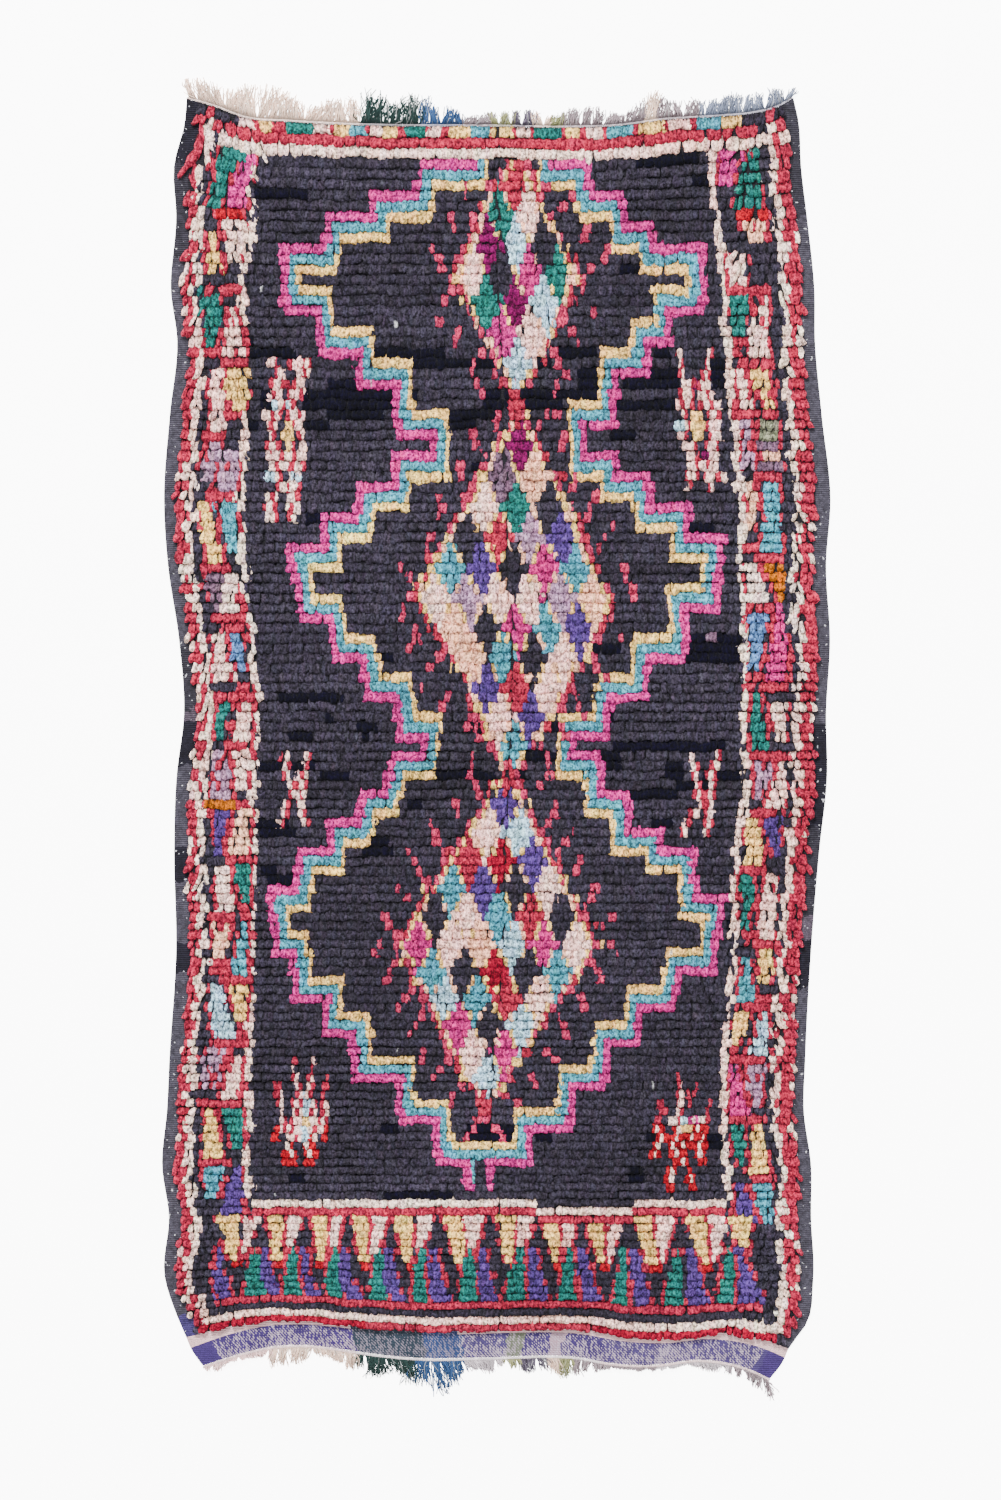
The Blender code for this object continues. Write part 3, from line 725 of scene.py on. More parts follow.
HANGING_STARTS = (9, 22.5, 34.5, 45.5, 56.5, 69.5, 83.7, 96.5, 108.3, 120.7, 134.7)
HANGING_WIDTHS = (12.5, 10, 9, 10, 11.5, 12.5, 11, 9.7, 10, 12, 12.3)
YELLOW_FOOT, WHITE_FOOT, RED_ROW, RED_HALF = 119.4, 118.6, 119, 1.6
hanging, hanging_middles = [], []
for start, width in zip(HANGING_STARTS, HANGING_WIDTHS):
    middle = start + width / 2
    top, tip = POINTS_ROW + sink(middle), middle + 0.4
    hanging.append(Block(top, YELLOW_FOOT, start, middle - 0.4, tip - 2.0, tip - 0.3, "y"))
    hanging.append(Block(top, WHITE_FOOT, middle + 0.6, start + width - 0.5,
                         tip + 0.5, tip + 1.6, "q"))
    hanging_middles.append(middle)
hanging.append(Block(POINTS_ROW, RED_ROW, 147, 153.3, 150, 151.5, "y"))
lay_blocks(hanging)
for middle in hanging_middles:
    lay(RED_ROW, RED_ROW + 1, middle - RED_HALF, middle + RED_HALF, "r")

GREEN_BASES = ((16, 22), (27, 32), (38.5, 43), (50, 55), (61.5, 66.5), (74.3, 79),
               (86.5, 92.3), (100.5, 105.3), (115, 119.5), (128.5, 134), (143, 148))
PURPLE_BASES = ((22.6, 26.5), (33, 36.7), (43.6, 48.5), (55.6, 60), (67.2, 72), (80.3, 85),
                (93.5, 98.5), (106.8, 111.8), (120.8, 125.5), (135.5, 141), (149, 156))
POINTS_END = 124
standing = [Block(117.5, POINTS_END, 10, 11.2, 8.5, 13.5, "v")]
for start, stop in GREEN_BASES:
    standing.append(Block(117.2, POINTS_END, stop - 2.0, stop - 0.6, start, stop, "g"))
for start, stop in PURPLE_BASES:
    standing.append(Block(117, POINTS_END, start - 0.6, start + 1.2, start, stop, "v"))
lay_blocks(standing)

CLOSING_ROWS = (
    (124, 8, 156, "c"), (125, 6, 158, "k"), (126, 3, 161, "w"), (127, 1, 163, "x"),
    (127, 48, 112, "c"),
)
for row, start, stop, yarn in CLOSING_ROWS:
    lay(row, row + 1, start, stop, yarn)
print("bottom border:", len(hanging), "hanging and", len(standing), "standing blocks")

# %% Stray knots of coral in the pale blocks
FIELD_FROM, FIELD_TO = 18, 146        # the field's first and last knot, about
STRAY_SHARE = 0.09
pale = np.isin(chart, ("q", "l", "e"))
beside_field = (KNOT_GRID < FIELD_FROM) | (KNOT_GRID > FIELD_TO)
stray = pale & beside_field & (hand.random((ROWS, KNOTS)) < STRAY_SHARE)
chart[stray] = "c"
print(int(stray.sum()), "stray knots; the chart holds", chart.size, "knots")

# %% [markdown]
# ## Yarn as a material
#
# Yarn is dull, and up close it is never one colour: the dye took unevenly, and single fibres
# are lighter or darker, partly in their own tone and partly as painted light and shade. Both
# belong to every yarn here, so they are one shader node group, used by all the materials. It
# takes a colour, a fibre size and a strength, and it gives back the uneven colour and a
# height for the bump.

# %% A node group for fibres


def group_socket(group, name, direction, kind, value=None):
    """Add a named input or output to a node group."""
    socket = group.interface.new_socket(name, in_out=direction, socket_type=kind)
    if value is not None:
        socket.default_value = value
    return socket


def add_node(tree, kind, **settings):
    """Add a node and set its own properties."""
    node = tree.nodes.new(kind)
    for name, value in settings.items():
        setattr(node, name, value)
    return node


def noise_node(tree, vector, scale, detail, roughness=0.6):
    """A noise texture that reads a vector."""
    node = add_node(tree, "ShaderNodeTexNoise")
    tree.links.new(vector, node.inputs["Vector"])
    if isinstance(scale, (int, float)):
        node.inputs["Scale"].default_value = scale
    else:
        tree.links.new(scale, node.inputs["Scale"])
    node.inputs["Detail"].default_value = detail
    node.inputs["Roughness"].default_value = roughness
    return node.outputs["Fac"]


def spread(tree, value, low, high, to_low, to_high):
    """Map a value from one range to another."""
    node = add_node(tree, "ShaderNodeMapRange")
    tree.links.new(value, node.inputs["Value"])
    for name, number in (("From Min", low), ("From Max", high)):
        node.inputs[name].default_value = number
    for name, number in (("To Min", to_low), ("To Max", to_high)):
        if isinstance(number, (int, float)):
            node.inputs[name].default_value = number
        else:
            tree.links.new(number, node.inputs[name])
    return node.outputs["Result"]


def maths(tree, operation, first, second):
    """One step of arithmetic."""
    node = add_node(tree, "ShaderNodeMath", operation=operation)
    for socket, value in zip(node.inputs, (first, second)):
        if isinstance(value, (int, float)):
            socket.default_value = value
        else:
            tree.links.new(value, socket)
    return node.outputs["Value"]


def scale_colour(tree, colour, factor):
    """A colour made lighter or darker by a factor."""
    node = add_node(tree, "ShaderNodeVectorMath", operation="SCALE")
    tree.links.new(colour, node.inputs[0])
    tree.links.new(factor, node.inputs["Scale"])
    return node.outputs["Vector"]


FIBRE_STRETCH = (1.25, 0.85, 1.0)     # fibres are drawn out along the rug a little
DYE_PATCHES = 26.0        # how fine the dye's patches are, for each metre
DYE_TONES = (0.86, 1.14)


def make_fibre_group():
    """Uneven dye, and painted light and shade on single fibres, for any yarn."""
    group = bpy.data.node_groups.new("yarn_fibres", "ShaderNodeTree")
    group_socket(group, "Colour", "INPUT", "NodeSocketColor", (0.5, 0.5, 0.5, 1))
    group_socket(group, "Fibre Size", "INPUT", "NodeSocketFloat", 420.0)
    group_socket(group, "Strength", "INPUT", "NodeSocketFloat", 0.4)
    group_socket(group, "Colour", "OUTPUT", "NodeSocketColor")
    group_socket(group, "Height", "OUTPUT", "NodeSocketFloat")
    source = add_node(group, "NodeGroupInput")
    sink_node = add_node(group, "NodeGroupOutput")
    place = add_node(group, "ShaderNodeTexCoord").outputs["Object"]
    along = add_node(group, "ShaderNodeMapping")
    along.inputs["Scale"].default_value = FIBRE_STRETCH
    group.links.new(place, along.inputs["Vector"])
    fibres = noise_node(group, along.outputs["Vector"], source.outputs["Fibre Size"], 3.0, 0.7)
    dye = noise_node(group, place, DYE_PATCHES, 2.0)
    darkest = maths(group, "SUBTRACT", 1.0, source.outputs["Strength"])
    lightest = maths(group, "ADD", 1.0, source.outputs["Strength"])
    # The fibre noise lightens and darkens the colour: partly the fibres' own tone, partly
    # painted light and shade between single fibres.
    fibre_tone_and_shade = spread(group, fibres, 0.40, 0.60, darkest, lightest)
    dye_tone = spread(group, dye, 0.3, 0.7, *DYE_TONES)
    tone = maths(group, "MULTIPLY", fibre_tone_and_shade, dye_tone)
    uneven = scale_colour(group, source.outputs["Colour"], tone)
    group.links.new(uneven, sink_node.inputs["Colour"])
    group.links.new(fibres, sink_node.inputs["Height"])
    return group


fibre_group = make_fibre_group()


def yarn_material(name, fibre_size, strength, bump_mm):
    """A yarn that takes its colour from the piece's own yarn_colour attribute."""
    material = bpy.data.materials.new(name)
    material.use_nodes = True
    tree = material.node_tree
    shader = tree.nodes["Principled BSDF"]
    colour = add_node(tree, "ShaderNodeAttribute", attribute_name="yarn_colour")
    fibres = add_node(tree, "ShaderNodeGroup", node_tree=fibre_group)
    fibres.inputs["Fibre Size"].default_value = fibre_size
    fibres.inputs["Strength"].default_value = strength
    tree.links.new(colour.outputs["Color"], fibres.inputs["Colour"])
    tree.links.new(fibres.outputs["Colour"], shader.inputs["Base Color"])
    bump = add_node(tree, "ShaderNodeBump")
    bump.inputs["Distance"].default_value = bump_mm * MM
    tree.links.new(fibres.outputs["Height"], bump.inputs["Height"])
    tree.links.new(bump.outputs["Normal"], shader.inputs["Normal"])
    shader.inputs["Roughness"].default_value = 0.93
    shader.inputs["Specular IOR Level"].default_value = 0.08
    shader.inputs["Sheen Weight"].default_value = 0.03
    shader.inputs["Sheen Roughness"].default_value = 0.6
    return material


pile_material = yarn_material("pile_yarn", fibre_size=180.0, strength=0.72, bump_mm=5.0)
fringe_material = yarn_material("fringe_yarn", fibre_size=600.0, strength=0.30, bump_mm=0.6)
print("materials:", pile_material.name, fringe_material.name)

# %% [markdown]
# ## One tuft
#
# Each knot stands up from the ground weave and is pressed down towards the next row, so
# from above it is a short, plump lock that is widest near its cut end. A sphere with its
# poles along the row's fall is a good start: its cut end is widened, its root is drawn in
# and its underside is flattened. It has only three dozen triangles, because there are
# twenty-one thousand of them.

# %% Model one tuft


def select_points(mesh, chosen):
    """In object mode, select just the points that a test picks, so that they can be edited."""
    for point in mesh.vertices:
        point.select = bool(chosen(point.co))
    for edge in mesh.edges:
        edge.select = all(mesh.vertices[index].select for index in edge.vertices)
    for face in mesh.polygons:
        face.select = all(mesh.vertices[index].select for index in face.vertices)


def reshape(item, chosen, grow=(1, 1, 1), move=(0, 0, 0)):
    """Scale and move the chosen points of the active mesh about their own middle."""
    select_points(item.data, chosen)
    bpy.ops.object.mode_set(mode="EDIT")
    bpy.ops.transform.resize(value=grow)
    bpy.ops.transform.translate(value=move)
    bpy.ops.object.mode_set(mode="OBJECT")


def lying_sphere(axis):
    """A small sphere turned about an axis until its poles lie flat, left in edit mode."""
    bpy.ops.object.select_all(action="DESELECT")
    bpy.ops.mesh.primitive_uv_sphere_add(segments=6, ring_count=4, radius=0.5)
    bpy.ops.object.mode_set(mode="EDIT")
    bpy.ops.mesh.select_all(action="SELECT")
    bpy.ops.transform.rotate(value=math.pi / 2, orient_axis=axis, center_override=(0, 0, 0))
    return bpy.context.object


tuft = lying_sphere("X")
bpy.ops.transform.translate(value=(0, -0.5, 0.5))
bpy.ops.object.mode_set(mode="OBJECT")
# In turn: the ring next to the cut end, the ring next to the root, the middle ring, the
# tip of the cut end, the tip of the root, and the whole underside.
reshape(tuft, lambda p: -0.97 < p.y < -0.7, grow=(1.25, 1, 1.16), move=(0, -0.03, -0.02))
reshape(tuft, lambda p: -0.3 < p.y < -0.03, grow=(1, 1, 0.6), move=(0, 0.02, -0.26))
reshape(tuft, lambda p: -0.6 < p.y < -0.4, grow=(1.05, 1, 1.04), move=(0, -0.05, 0))
reshape(tuft, lambda p: p.y < -0.97, move=(0, 0, -0.12))
reshape(tuft, lambda p: p.y > -0.03, move=(0, 0, -0.15))
reshape(tuft, lambda p: p.z < 0.3, grow=(1, 1, 0.4))

bpy.ops.object.mode_set(mode="EDIT")
bpy.ops.mesh.select_all(action="SELECT")
bpy.ops.mesh.quads_convert_to_tris()
bpy.ops.mesh.normals_make_consistent(inside=False)
bpy.ops.object.mode_set(mode="OBJECT")


def read_template(item):
    """A template's points and triangles as arrays, and the template itself removed.

    The triangles are put in order, each from its point with the lowest number, because
    the faces of a new sphere can be listed in another order from run to run.
    """
    points = np.array([point.co[:] for point in item.data.vertices])
    triangles = np.array([face.vertices[:] for face in item.data.polygons])
    turns = (triangles.argmin(axis=1)[:, None] + np.arange(3)) % 3
    triangles = np.take_along_axis(triangles, turns, axis=1)
    triangles = triangles[np.lexsort(triangles.T[::-1])]
    bpy.data.objects.remove(item, do_unlink=True)
    return points, triangles


tuft_points, tuft_triangles = read_template(tuft)
print("one tuft:", len(tuft_points), "points,", len(tuft_triangles), "triangles")

# %% [markdown]
# ## The pile
#
# Now the tuft is copied to every knot of the chart. A person's hand shows in the copies:
# rows waver by a millimetre or two, neighbouring tufts cling together in twos and threes
# and leave notches between, and the tufts of the borders splay further sideways. Along
# the old fold the pile is parted and lies lower. All the copies are worked out at once as
# arrays and joined into five lengthwise strips, each its own piece.

# %% A helper that joins many copies into one mesh
PILE_STRIPS = 5


def joined_piece(name, points, triangles, colours, material):
    """One object from many copies: points is copies x points x 3, colours copies x 3."""
    copies, size = points.shape[0], points.shape[1]
    faces = (triangles[None] + np.arange(copies)[:, None, None] * size).reshape(-1, 3)
    mesh = bpy.data.meshes.new(name)
    mesh.vertices.add(copies * size)
    mesh.vertices.foreach_set("co", points.reshape(-1).astype(np.float32))
    mesh.loops.add(faces.size)
    mesh.loops.foreach_set("vertex_index", faces.reshape(-1).astype(np.int32))
    mesh.polygons.add(len(faces))
    mesh.polygons.foreach_set("loop_start", np.arange(0, faces.size, 3, dtype=np.int32))
    mesh.update(calc_edges=True)
    mesh.polygons.foreach_set("use_smooth", np.ones(len(faces), bool))
    rgba = np.ones((copies, size, 4), np.float32)
    rgba[..., :3] = colours[:, None] if colours.ndim == 2 else colours
    paint = mesh.attributes.new("yarn_colour", "FLOAT_COLOR", "POINT")
    paint.data.foreach_set("color", rgba.reshape(-1))
    mesh.materials.append(material)
    item = bpy.data.objects.new(name, mesh)
    bpy.context.collection.objects.link(item)
    flat_map(item)
    return item


def flat_map(item):
    """A map of the piece seen from above, which fills the unit square."""
    mesh = item.data
    places = np.empty(len(mesh.vertices) * 3, np.float32)
    mesh.vertices.foreach_get("co", places)
    flat = places.reshape(-1, 3)[:, :2]
    flat = (flat - flat.min(axis=0)) / np.ptp(flat, axis=0)
    corners = np.empty(len(mesh.loops), np.int32)
    mesh.loops.foreach_get("vertex_index", corners)
    layer = mesh.uv_layers.new(name="OFBake")
    layer.uv.foreach_set("vector", flat[corners].reshape(-1))


# %% Where each knot stands
ROOT_RISE = 0.14          # share of the row's height by which a root reaches up
TUFT_REACH = 1.33         # length of a tuft, in rows
TUFT_SPREAD = 1.85        # width of a tuft, in knots
BORDER_SPREAD = 1.62      # the same in the long borders, where the pile is thinner
TUFT_FOOT = 0.0052        # height of a tuft's underside above the floor
TUFT_TOP = 0.0158         # height of its crest

ROW_WAVER, KNOT_WAVER, CLUMP_WAVER = 0.10, 0.09, 0.05     # how far roots stray, in rows
SLOW_SWAY, KNOT_SWAY = 0.30, 0.20                         # and sideways, in knots
CLUMP_SIZES = (1, 2, 2, 3, 3, 4)

row_index, knot_index = np.meshgrid(np.arange(ROWS), np.arange(KNOTS), indexing="ij")


def slow_wave(seed, row_scale, knot_scale):
    """A slow unevenness over all the knots, between about -1 and 1."""
    draw = np.random.default_rng(seed)
    total = np.zeros((ROWS, KNOTS))
    for _ in range(6):
        turns = draw.normal(0, 1, 2) / (row_scale, knot_scale)
        phase = draw.uniform(0, 2 * math.pi)
        total += np.sin(turns[0] * row_index + turns[1] * knot_index + phase)
    return total / 2.5


def clumps():
    """For each knot, its clump's number and how far it stands from the clump's middle."""
    number = np.zeros((ROWS, KNOTS), int)
    off_middle = np.zeros((ROWS, KNOTS))
    count = 0
    for row in range(ROWS):
        knot = 0
        while knot < KNOTS:
            size = min(int(hand.choice(CLUMP_SIZES)), KNOTS - knot)
            number[row, knot:knot + size] = count
            off_middle[row, knot:knot + size] = np.arange(size) - (size - 1) / 2
            count += 1
            knot += size
    return number, off_middle, count


clump_number, off_middle, clump_count = clumps()
per_clump = hand.normal(0, 1, (4, clump_count))[:, clump_number]
per_knot = hand.normal(0, 1, (6, ROWS, KNOTS))
waver = ROW_WAVER * slow_wave(3, 9, 14) + CLUMP_WAVER * per_clump[0]
waver = waver + KNOT_WAVER * slow_wave(4, 1.2, 3.5)
sway = SLOW_SWAY * slow_wave(5, 7, 30) + KNOT_SWAY * per_knot[0]

across = SELVEDGE + (1 - 2 * SELVEDGE) * (knot_index + 0.5 + sway) / KNOTS
root_down = np.clip(row_down(np.clip(row_index - ROOT_RISE + waver, 0, ROWS)), 0, 1)
root_x, root_y = cloth_point(across, root_down)
next_x, next_y = cloth_point(across, row_down(np.minimum(row_index + 1.0, ROWS)))
side_x, side_y = cloth_point(across + (1 - 2 * SELVEDGE) / KNOTS, root_down)
row_height = np.hypot(next_x - root_x, next_y - root_y) / (1 + ROOT_RISE)
knot_width = np.hypot(side_x - root_x, side_y - root_y)
print("a knot is", round(knot_width.mean() * 1000, 1), "mm wide, a row",
      round(row_height.mean() * 1000, 1), "mm high,", clump_count, "clumps")

# %% Shape and place of every tuft
FOLD_SPLAY = 0.30         # how far the pile leans away from the fold, in radians
FOLD_DEPTH = 0.0018       # how much lower the pile lies in the fold
FOLD_WANDER, FOLD_FADE = 0.35, 1.6    # how the fold strays and fades, in its half widths
CLUMP_PULL = 0.055        # how far a tuft leans towards the middle of its clump
POINT_JITTER = 0.070      # how ragged each tuft is, as a share of its size
BORDER_SPLAY = 0.22       # how far the borders' outermost tufts lean outwards
JITTER_SHARES = (1, 0.7, 0.9)         # of that, across, along and up the tuft
BORDER_HALF = 9           # half of a long border, in knots
SIDE_KNOTS = 6            # knots next to each selvedge, which lean the most
# How far tufts lean by chance, in radians: each one, more in the borders than in the
# field, and whole clumps, most at the sides.
KNOT_LEAN, BORDER_LEAN, FIELD_LEAN = 0.05, 0.10, 0.03
SIDE_CLUMP_LEAN, BORDER_CLUMP_LEAN, FIELD_CLUMP_LEAN = 0.20, 0.12, 0.05
# How much tufts differ, as shares: their width, reach and height, by knot, clump or wave.
WIDTH_BY_KNOT = 0.09
REACH_BY_KNOT, REACH_BY_CLUMP, REACH_BY_WAVE = 0.04, 0.04, 0.08
CREST_BY_KNOT, CREST_BY_CLUMP = 0.05, 0.07
CREST_WAVE = 0.0010       # the slow wave of the pile's height, in metres

from_fold = (across - FOLD_AT) / FOLD_HALF + FOLD_WANDER * slow_wave(9, 5, 400)
in_fold = np.clip(1 - np.abs(from_fold) / FOLD_FADE, 0, 1)
in_border = (knot_index < FIELD_FROM) | (knot_index > FIELD_TO)
at_side = (knot_index < SIDE_KNOTS) | (knot_index >= KNOTS - SIDE_KNOTS)
border_middle = np.where(knot_index < KNOTS / 2, BORDER_HALF, KNOTS - BORDER_HALF)
border_splay = BORDER_SPLAY * in_border * (knot_index - border_middle) / BORDER_HALF
width = knot_width * np.where(in_border, BORDER_SPREAD, TUFT_SPREAD)
width = width * (1 + WIDTH_BY_KNOT * per_knot[1])
reach = 1 + REACH_BY_CLUMP * per_clump[1] + REACH_BY_KNOT * per_knot[2]
reach = row_height * TUFT_REACH * reach
reach = reach * (1 + REACH_BY_WAVE * slow_wave(6, 1.1, 3))
clump_lean = np.where(in_border, BORDER_CLUMP_LEAN, FIELD_CLUMP_LEAN)
clump_lean = np.where(at_side, SIDE_CLUMP_LEAN, clump_lean)
lean = KNOT_LEAN * per_knot[3] + np.where(in_border, BORDER_LEAN, FIELD_LEAN) * per_knot[4]
lean = lean + clump_lean * per_clump[2] + border_splay
lean = lean - CLUMP_PULL * off_middle + FOLD_SPLAY * in_fold * np.sign(from_fold)
crest = 1 + CREST_BY_KNOT * per_knot[5] + CREST_BY_CLUMP * per_clump[3]
crest = (TUFT_TOP - TUFT_FOOT) * crest
crest = crest + CREST_WAVE * slow_wave(8, 6, 9) - FOLD_DEPTH * in_fold


def place_tufts(chosen):
    """The points of the chosen knots' tufts, as knots x points x 3."""
    count = int(chosen.sum())
    shape = np.repeat(tuft_points[None], count, axis=0)
    shape = shape + hand.normal(0, POINT_JITTER, shape.shape) * JITTER_SHARES
    x = shape[..., 0] * width[chosen][:, None]
    y = shape[..., 1] * reach[chosen][:, None]
    z = TUFT_FOOT + np.clip(shape[..., 2], 0, None) * crest[chosen][:, None]
    cos, sin = np.cos(lean[chosen])[:, None], np.sin(lean[chosen])[:, None]
    turned_x, turned_y = x * cos - y * sin, x * sin + y * cos
    return np.stack([root_x[chosen][:, None] + turned_x,
                     root_y[chosen][:, None] + turned_y, z], axis=-1)


# %% Colour of every tuft
ROW_TONE = 0.10           # how much the dye differs from row to row
KNOT_TONE = 0.06
PATCH_TONE = 0.10
KNOT_TINT = 0.035         # how much each knot's red, green and blue differ
DARKEST, PALEST = 0.001, 0.92
yarn_colours = np.zeros((ROWS, KNOTS, 3))
for letter, colour in YARNS.items():
    yarn_colours[chart == letter] = reflectance(colour)
row_tone = hand.normal(0, ROW_TONE, ROWS)[:, None] * np.isin(chart, ("k", "n"))
tone = 1 + row_tone + hand.normal(0, KNOT_TONE, (ROWS, KNOTS))
tone = tone + PATCH_TONE * slow_wave(12, 10, 25)
tint = 1 + hand.normal(0, KNOT_TINT, (ROWS, KNOTS, 3))
yarn_colours = np.clip(yarn_colours * tone[..., None] * tint, DARKEST, PALEST)

# %% Build the strips of pile
SPECK = 0.22              # how much single yarn ends differ within a tuft
SPECK_LIMITS = (0.4, 1.5)
LINT = 0.0001             # share of the points that carry a speck of white lint
LINT_WHITE = 0.6
# Painted shade: each tuft's low points, at its root and underside, are darkened, which paints
# a dark crease between the rows.
CREASE_HEIGHT, CREASE_FADE = 0.30, 0.35       # shares of a tuft's height
CREASE_LIGHT, CREASE_VARIES = 0.42, 0.26      # how light creases are, and how that differs
CREASE_LIMITS = (0.14, 0.9)
crease = np.clip((tuft_points[:, 2] - CREASE_HEIGHT) / CREASE_FADE, 0, 1)
crease_shade = np.clip(CREASE_LIGHT + CREASE_VARIES * slow_wave(21, 0.9, 7), *CREASE_LIMITS)


def tuft_colours(chosen):
    """The colours of the chosen knots' tufts, point by point, with painted crease shade and
    specks.
    """
    # Painted shade in the creases, times the specks of single yarn ends.
    depth = crease_shade[chosen][:, None]
    shade = depth + (1 - depth) * crease[None]
    specks = np.clip(hand.normal(1, SPECK, shade.shape), *SPECK_LIMITS)
    colours = yarn_colours[chosen][:, None] * (shade * specks)[..., None]
    colours[hand.random(shade.shape) < LINT] = LINT_WHITE
    return colours


pile_pieces = []
for strip in range(PILE_STRIPS):
    first, last = strip * KNOTS // PILE_STRIPS, (strip + 1) * KNOTS // PILE_STRIPS
    chosen = (knot_index >= first) & (knot_index < last)
    piece = joined_piece(f"pile_strip_{strip + 1}", place_tufts(chosen), tuft_triangles,
                         tuft_colours(chosen), pile_material)
    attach(piece, "root")
    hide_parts("rug_cloth")
    pile_pieces.append(piece)
    print(piece.name, int(chosen.sum()), "tufts,", len(piece.data.polygons), "triangles")

# %% [markdown]
# ## The ground weave
#
# Under the pile lies a firm flat weave. It shows at three places: the charcoal selvedges,
# where the wefts turn, the band after the last row, and a little between the tufts, where
# it is painted near black as painted shade under the pile. It is made as a sheet: a grid
# takes the rug's outline from the same shares as above, a Solidify modifier gives it a
# thickness, and its underside is then laid on the floor. Where the pile stands the sheet is
# a little higher, because the knots sit there.

# %% Model the ground weave
GROUND_COLUMNS = 60
GROUND_LINES = 150
SELVEDGE_TOP = 0.0034
KNOT_BED_TOP = 0.0078
SIDE_BAND, SIDE_LINES = SELVEDGE * 1.6, 0.07  # the grid's outer lines fall in this band
PILE_LINES = 0.86         # share of the grid's lines that lie under the pile
BED_SIDE, BED_FOOT, BED_HEAD = 0.012, 0.004, 0.002    # shares over which the bed rises
CORD_HEIGHT = 0.0005      # how far the selvedge's three cords stand up

bpy.ops.object.select_all(action="DESELECT")
bpy.ops.mesh.primitive_grid_add(
    x_subdivisions=GROUND_COLUMNS, y_subdivisions=GROUND_LINES, size=1)
ground = bpy.context.object
ground.name = "ground_weave"
ground.data.name = "ground_weave"
shares = np.array([point.co[:] for point in ground.data.vertices])
pile_end = float(row_down(np.array(float(ROWS))))
ground_across = np.interp(shares[:, 0] + 0.5, (0, SIDE_LINES, 1 - SIDE_LINES, 1),
                          (0, SIDE_BAND, 1 - SIDE_BAND, 1))
ground_down = np.interp(0.5 - shares[:, 1], (0, PILE_LINES, 1), (0, pile_end, 1))
ground_x, ground_y = cloth_point(ground_across, ground_down)
from_side = np.minimum(ground_across, 1 - ground_across)
bed = np.clip((from_side - SELVEDGE) / BED_SIDE, 0, 1)
bed = bed * np.clip((pile_end - ground_down) / BED_FOOT, 0, 1)
bed = bed * np.clip(ground_down / BED_HEAD, 0, 1)
cords = CORD_HEIGHT * np.sin(from_side / SELVEDGE * 6 * math.pi)
cord_lump = np.where(from_side < SELVEDGE, cords, 0)
ground_z = SELVEDGE_TOP + (KNOT_BED_TOP - SELVEDGE_TOP) * bed + cord_lump
ground.data.vertices.foreach_set("co", np.stack([ground_x, ground_y, ground_z], 1).reshape(-1))
uv = ground.data.uv_layers[0]
uv.name = "shares"
corners = np.array([loop.vertex_index for loop in ground.data.loops])
uv_values = np.stack([ground_across, ground_down], 1)[corners]
uv.uv.foreach_set("vector", uv_values.reshape(-1).astype(np.float32))

solid = ground.modifiers.new("thickness", "SOLIDIFY")
solid.thickness = SELVEDGE_TOP
solid.offset = -1
top_count = len(ground.data.vertices)
bpy.ops.object.modifier_apply(modifier=solid.name)
for point in list(ground.data.vertices)[top_count:]:
    point.co.z = 0.0
bpy.ops.object.mode_set(mode="EDIT")
bpy.ops.mesh.select_all(action="SELECT")
bpy.ops.mesh.normals_make_consistent(inside=False)
bpy.ops.object.mode_set(mode="OBJECT")
bpy.ops.object.shade_smooth_by_angle(angle=math.radians(50))
flat_map(ground)
print("ground weave:", len(ground.data.polygons), "faces")

# %% [markdown]
# The band after the last row is woven in reused yarns too. Its weft is mostly purple,
# with green, navy and blue lengths towards the left of the middle, and pale warps that
# rise through it as fine slanting ticks. A pale pink stripe lies between it and the pile.
# The sheet carries its own map of shares, so one ramp along the width gives the weft's
# colour, and fine waves along both directions give the ticks and the weave's relief.

# %% Material of the ground weave
WEFT_STOPS = (
    (0.000, (0.050, 0.029, 0.135)), (0.272, (0.026, 0.040, 0.058)),
    (0.393, (0.028, 0.050, 0.140)), (0.460, (0.060, 0.044, 0.140)),
    (0.530, (0.150, 0.165, 0.120)), (0.559, (0.050, 0.032, 0.130)),
    (0.609, (0.400, 0.260, 0.320)), (0.626, (0.048, 0.030, 0.125)),
    (0.700, (0.064, 0.044, 0.145)), (0.974, (0.050, 0.028, 0.130)),
)
STRIPE_WIDTHS = (         # the pale stripe's width along the band, as % of the length
    (0.00, 0.80), (0.08, 0.60), (0.25, 0.32), (0.55, 0.26), (0.80, 0.50), (1.00, 0.62),
)
BAND_INNER = (0.034, 0.966)           # the band's ends stay without ticks
PLAIN_PART = (0.272, 0.45)            # here the stripe stops and the ticks are faint
TICK_STRENGTHS = (0.80, 0.36)         # elsewhere and in the plain part
TICK_LEVELS = (0.60, 0.49)            # how rare ticks are, at the pile and at the end
TICK_PATCHES = (-0.04, 0.05)
STREAKS, STREAK_TURN = (300.0, 85.0, 85.0), 0.22      # how fine the ticks are; their slant
STREAK_PART, DOT_PART = 0.8, 0.2
WEFT_STRAY, EDGE_STRAY = 0.006, 0.003 # how far the changes of yarn stray, as shares
TICK_COLOUR, STRIPE_COLOUR = (0.50, 0.40, 0.50), (0.80, 0.52, 0.53)
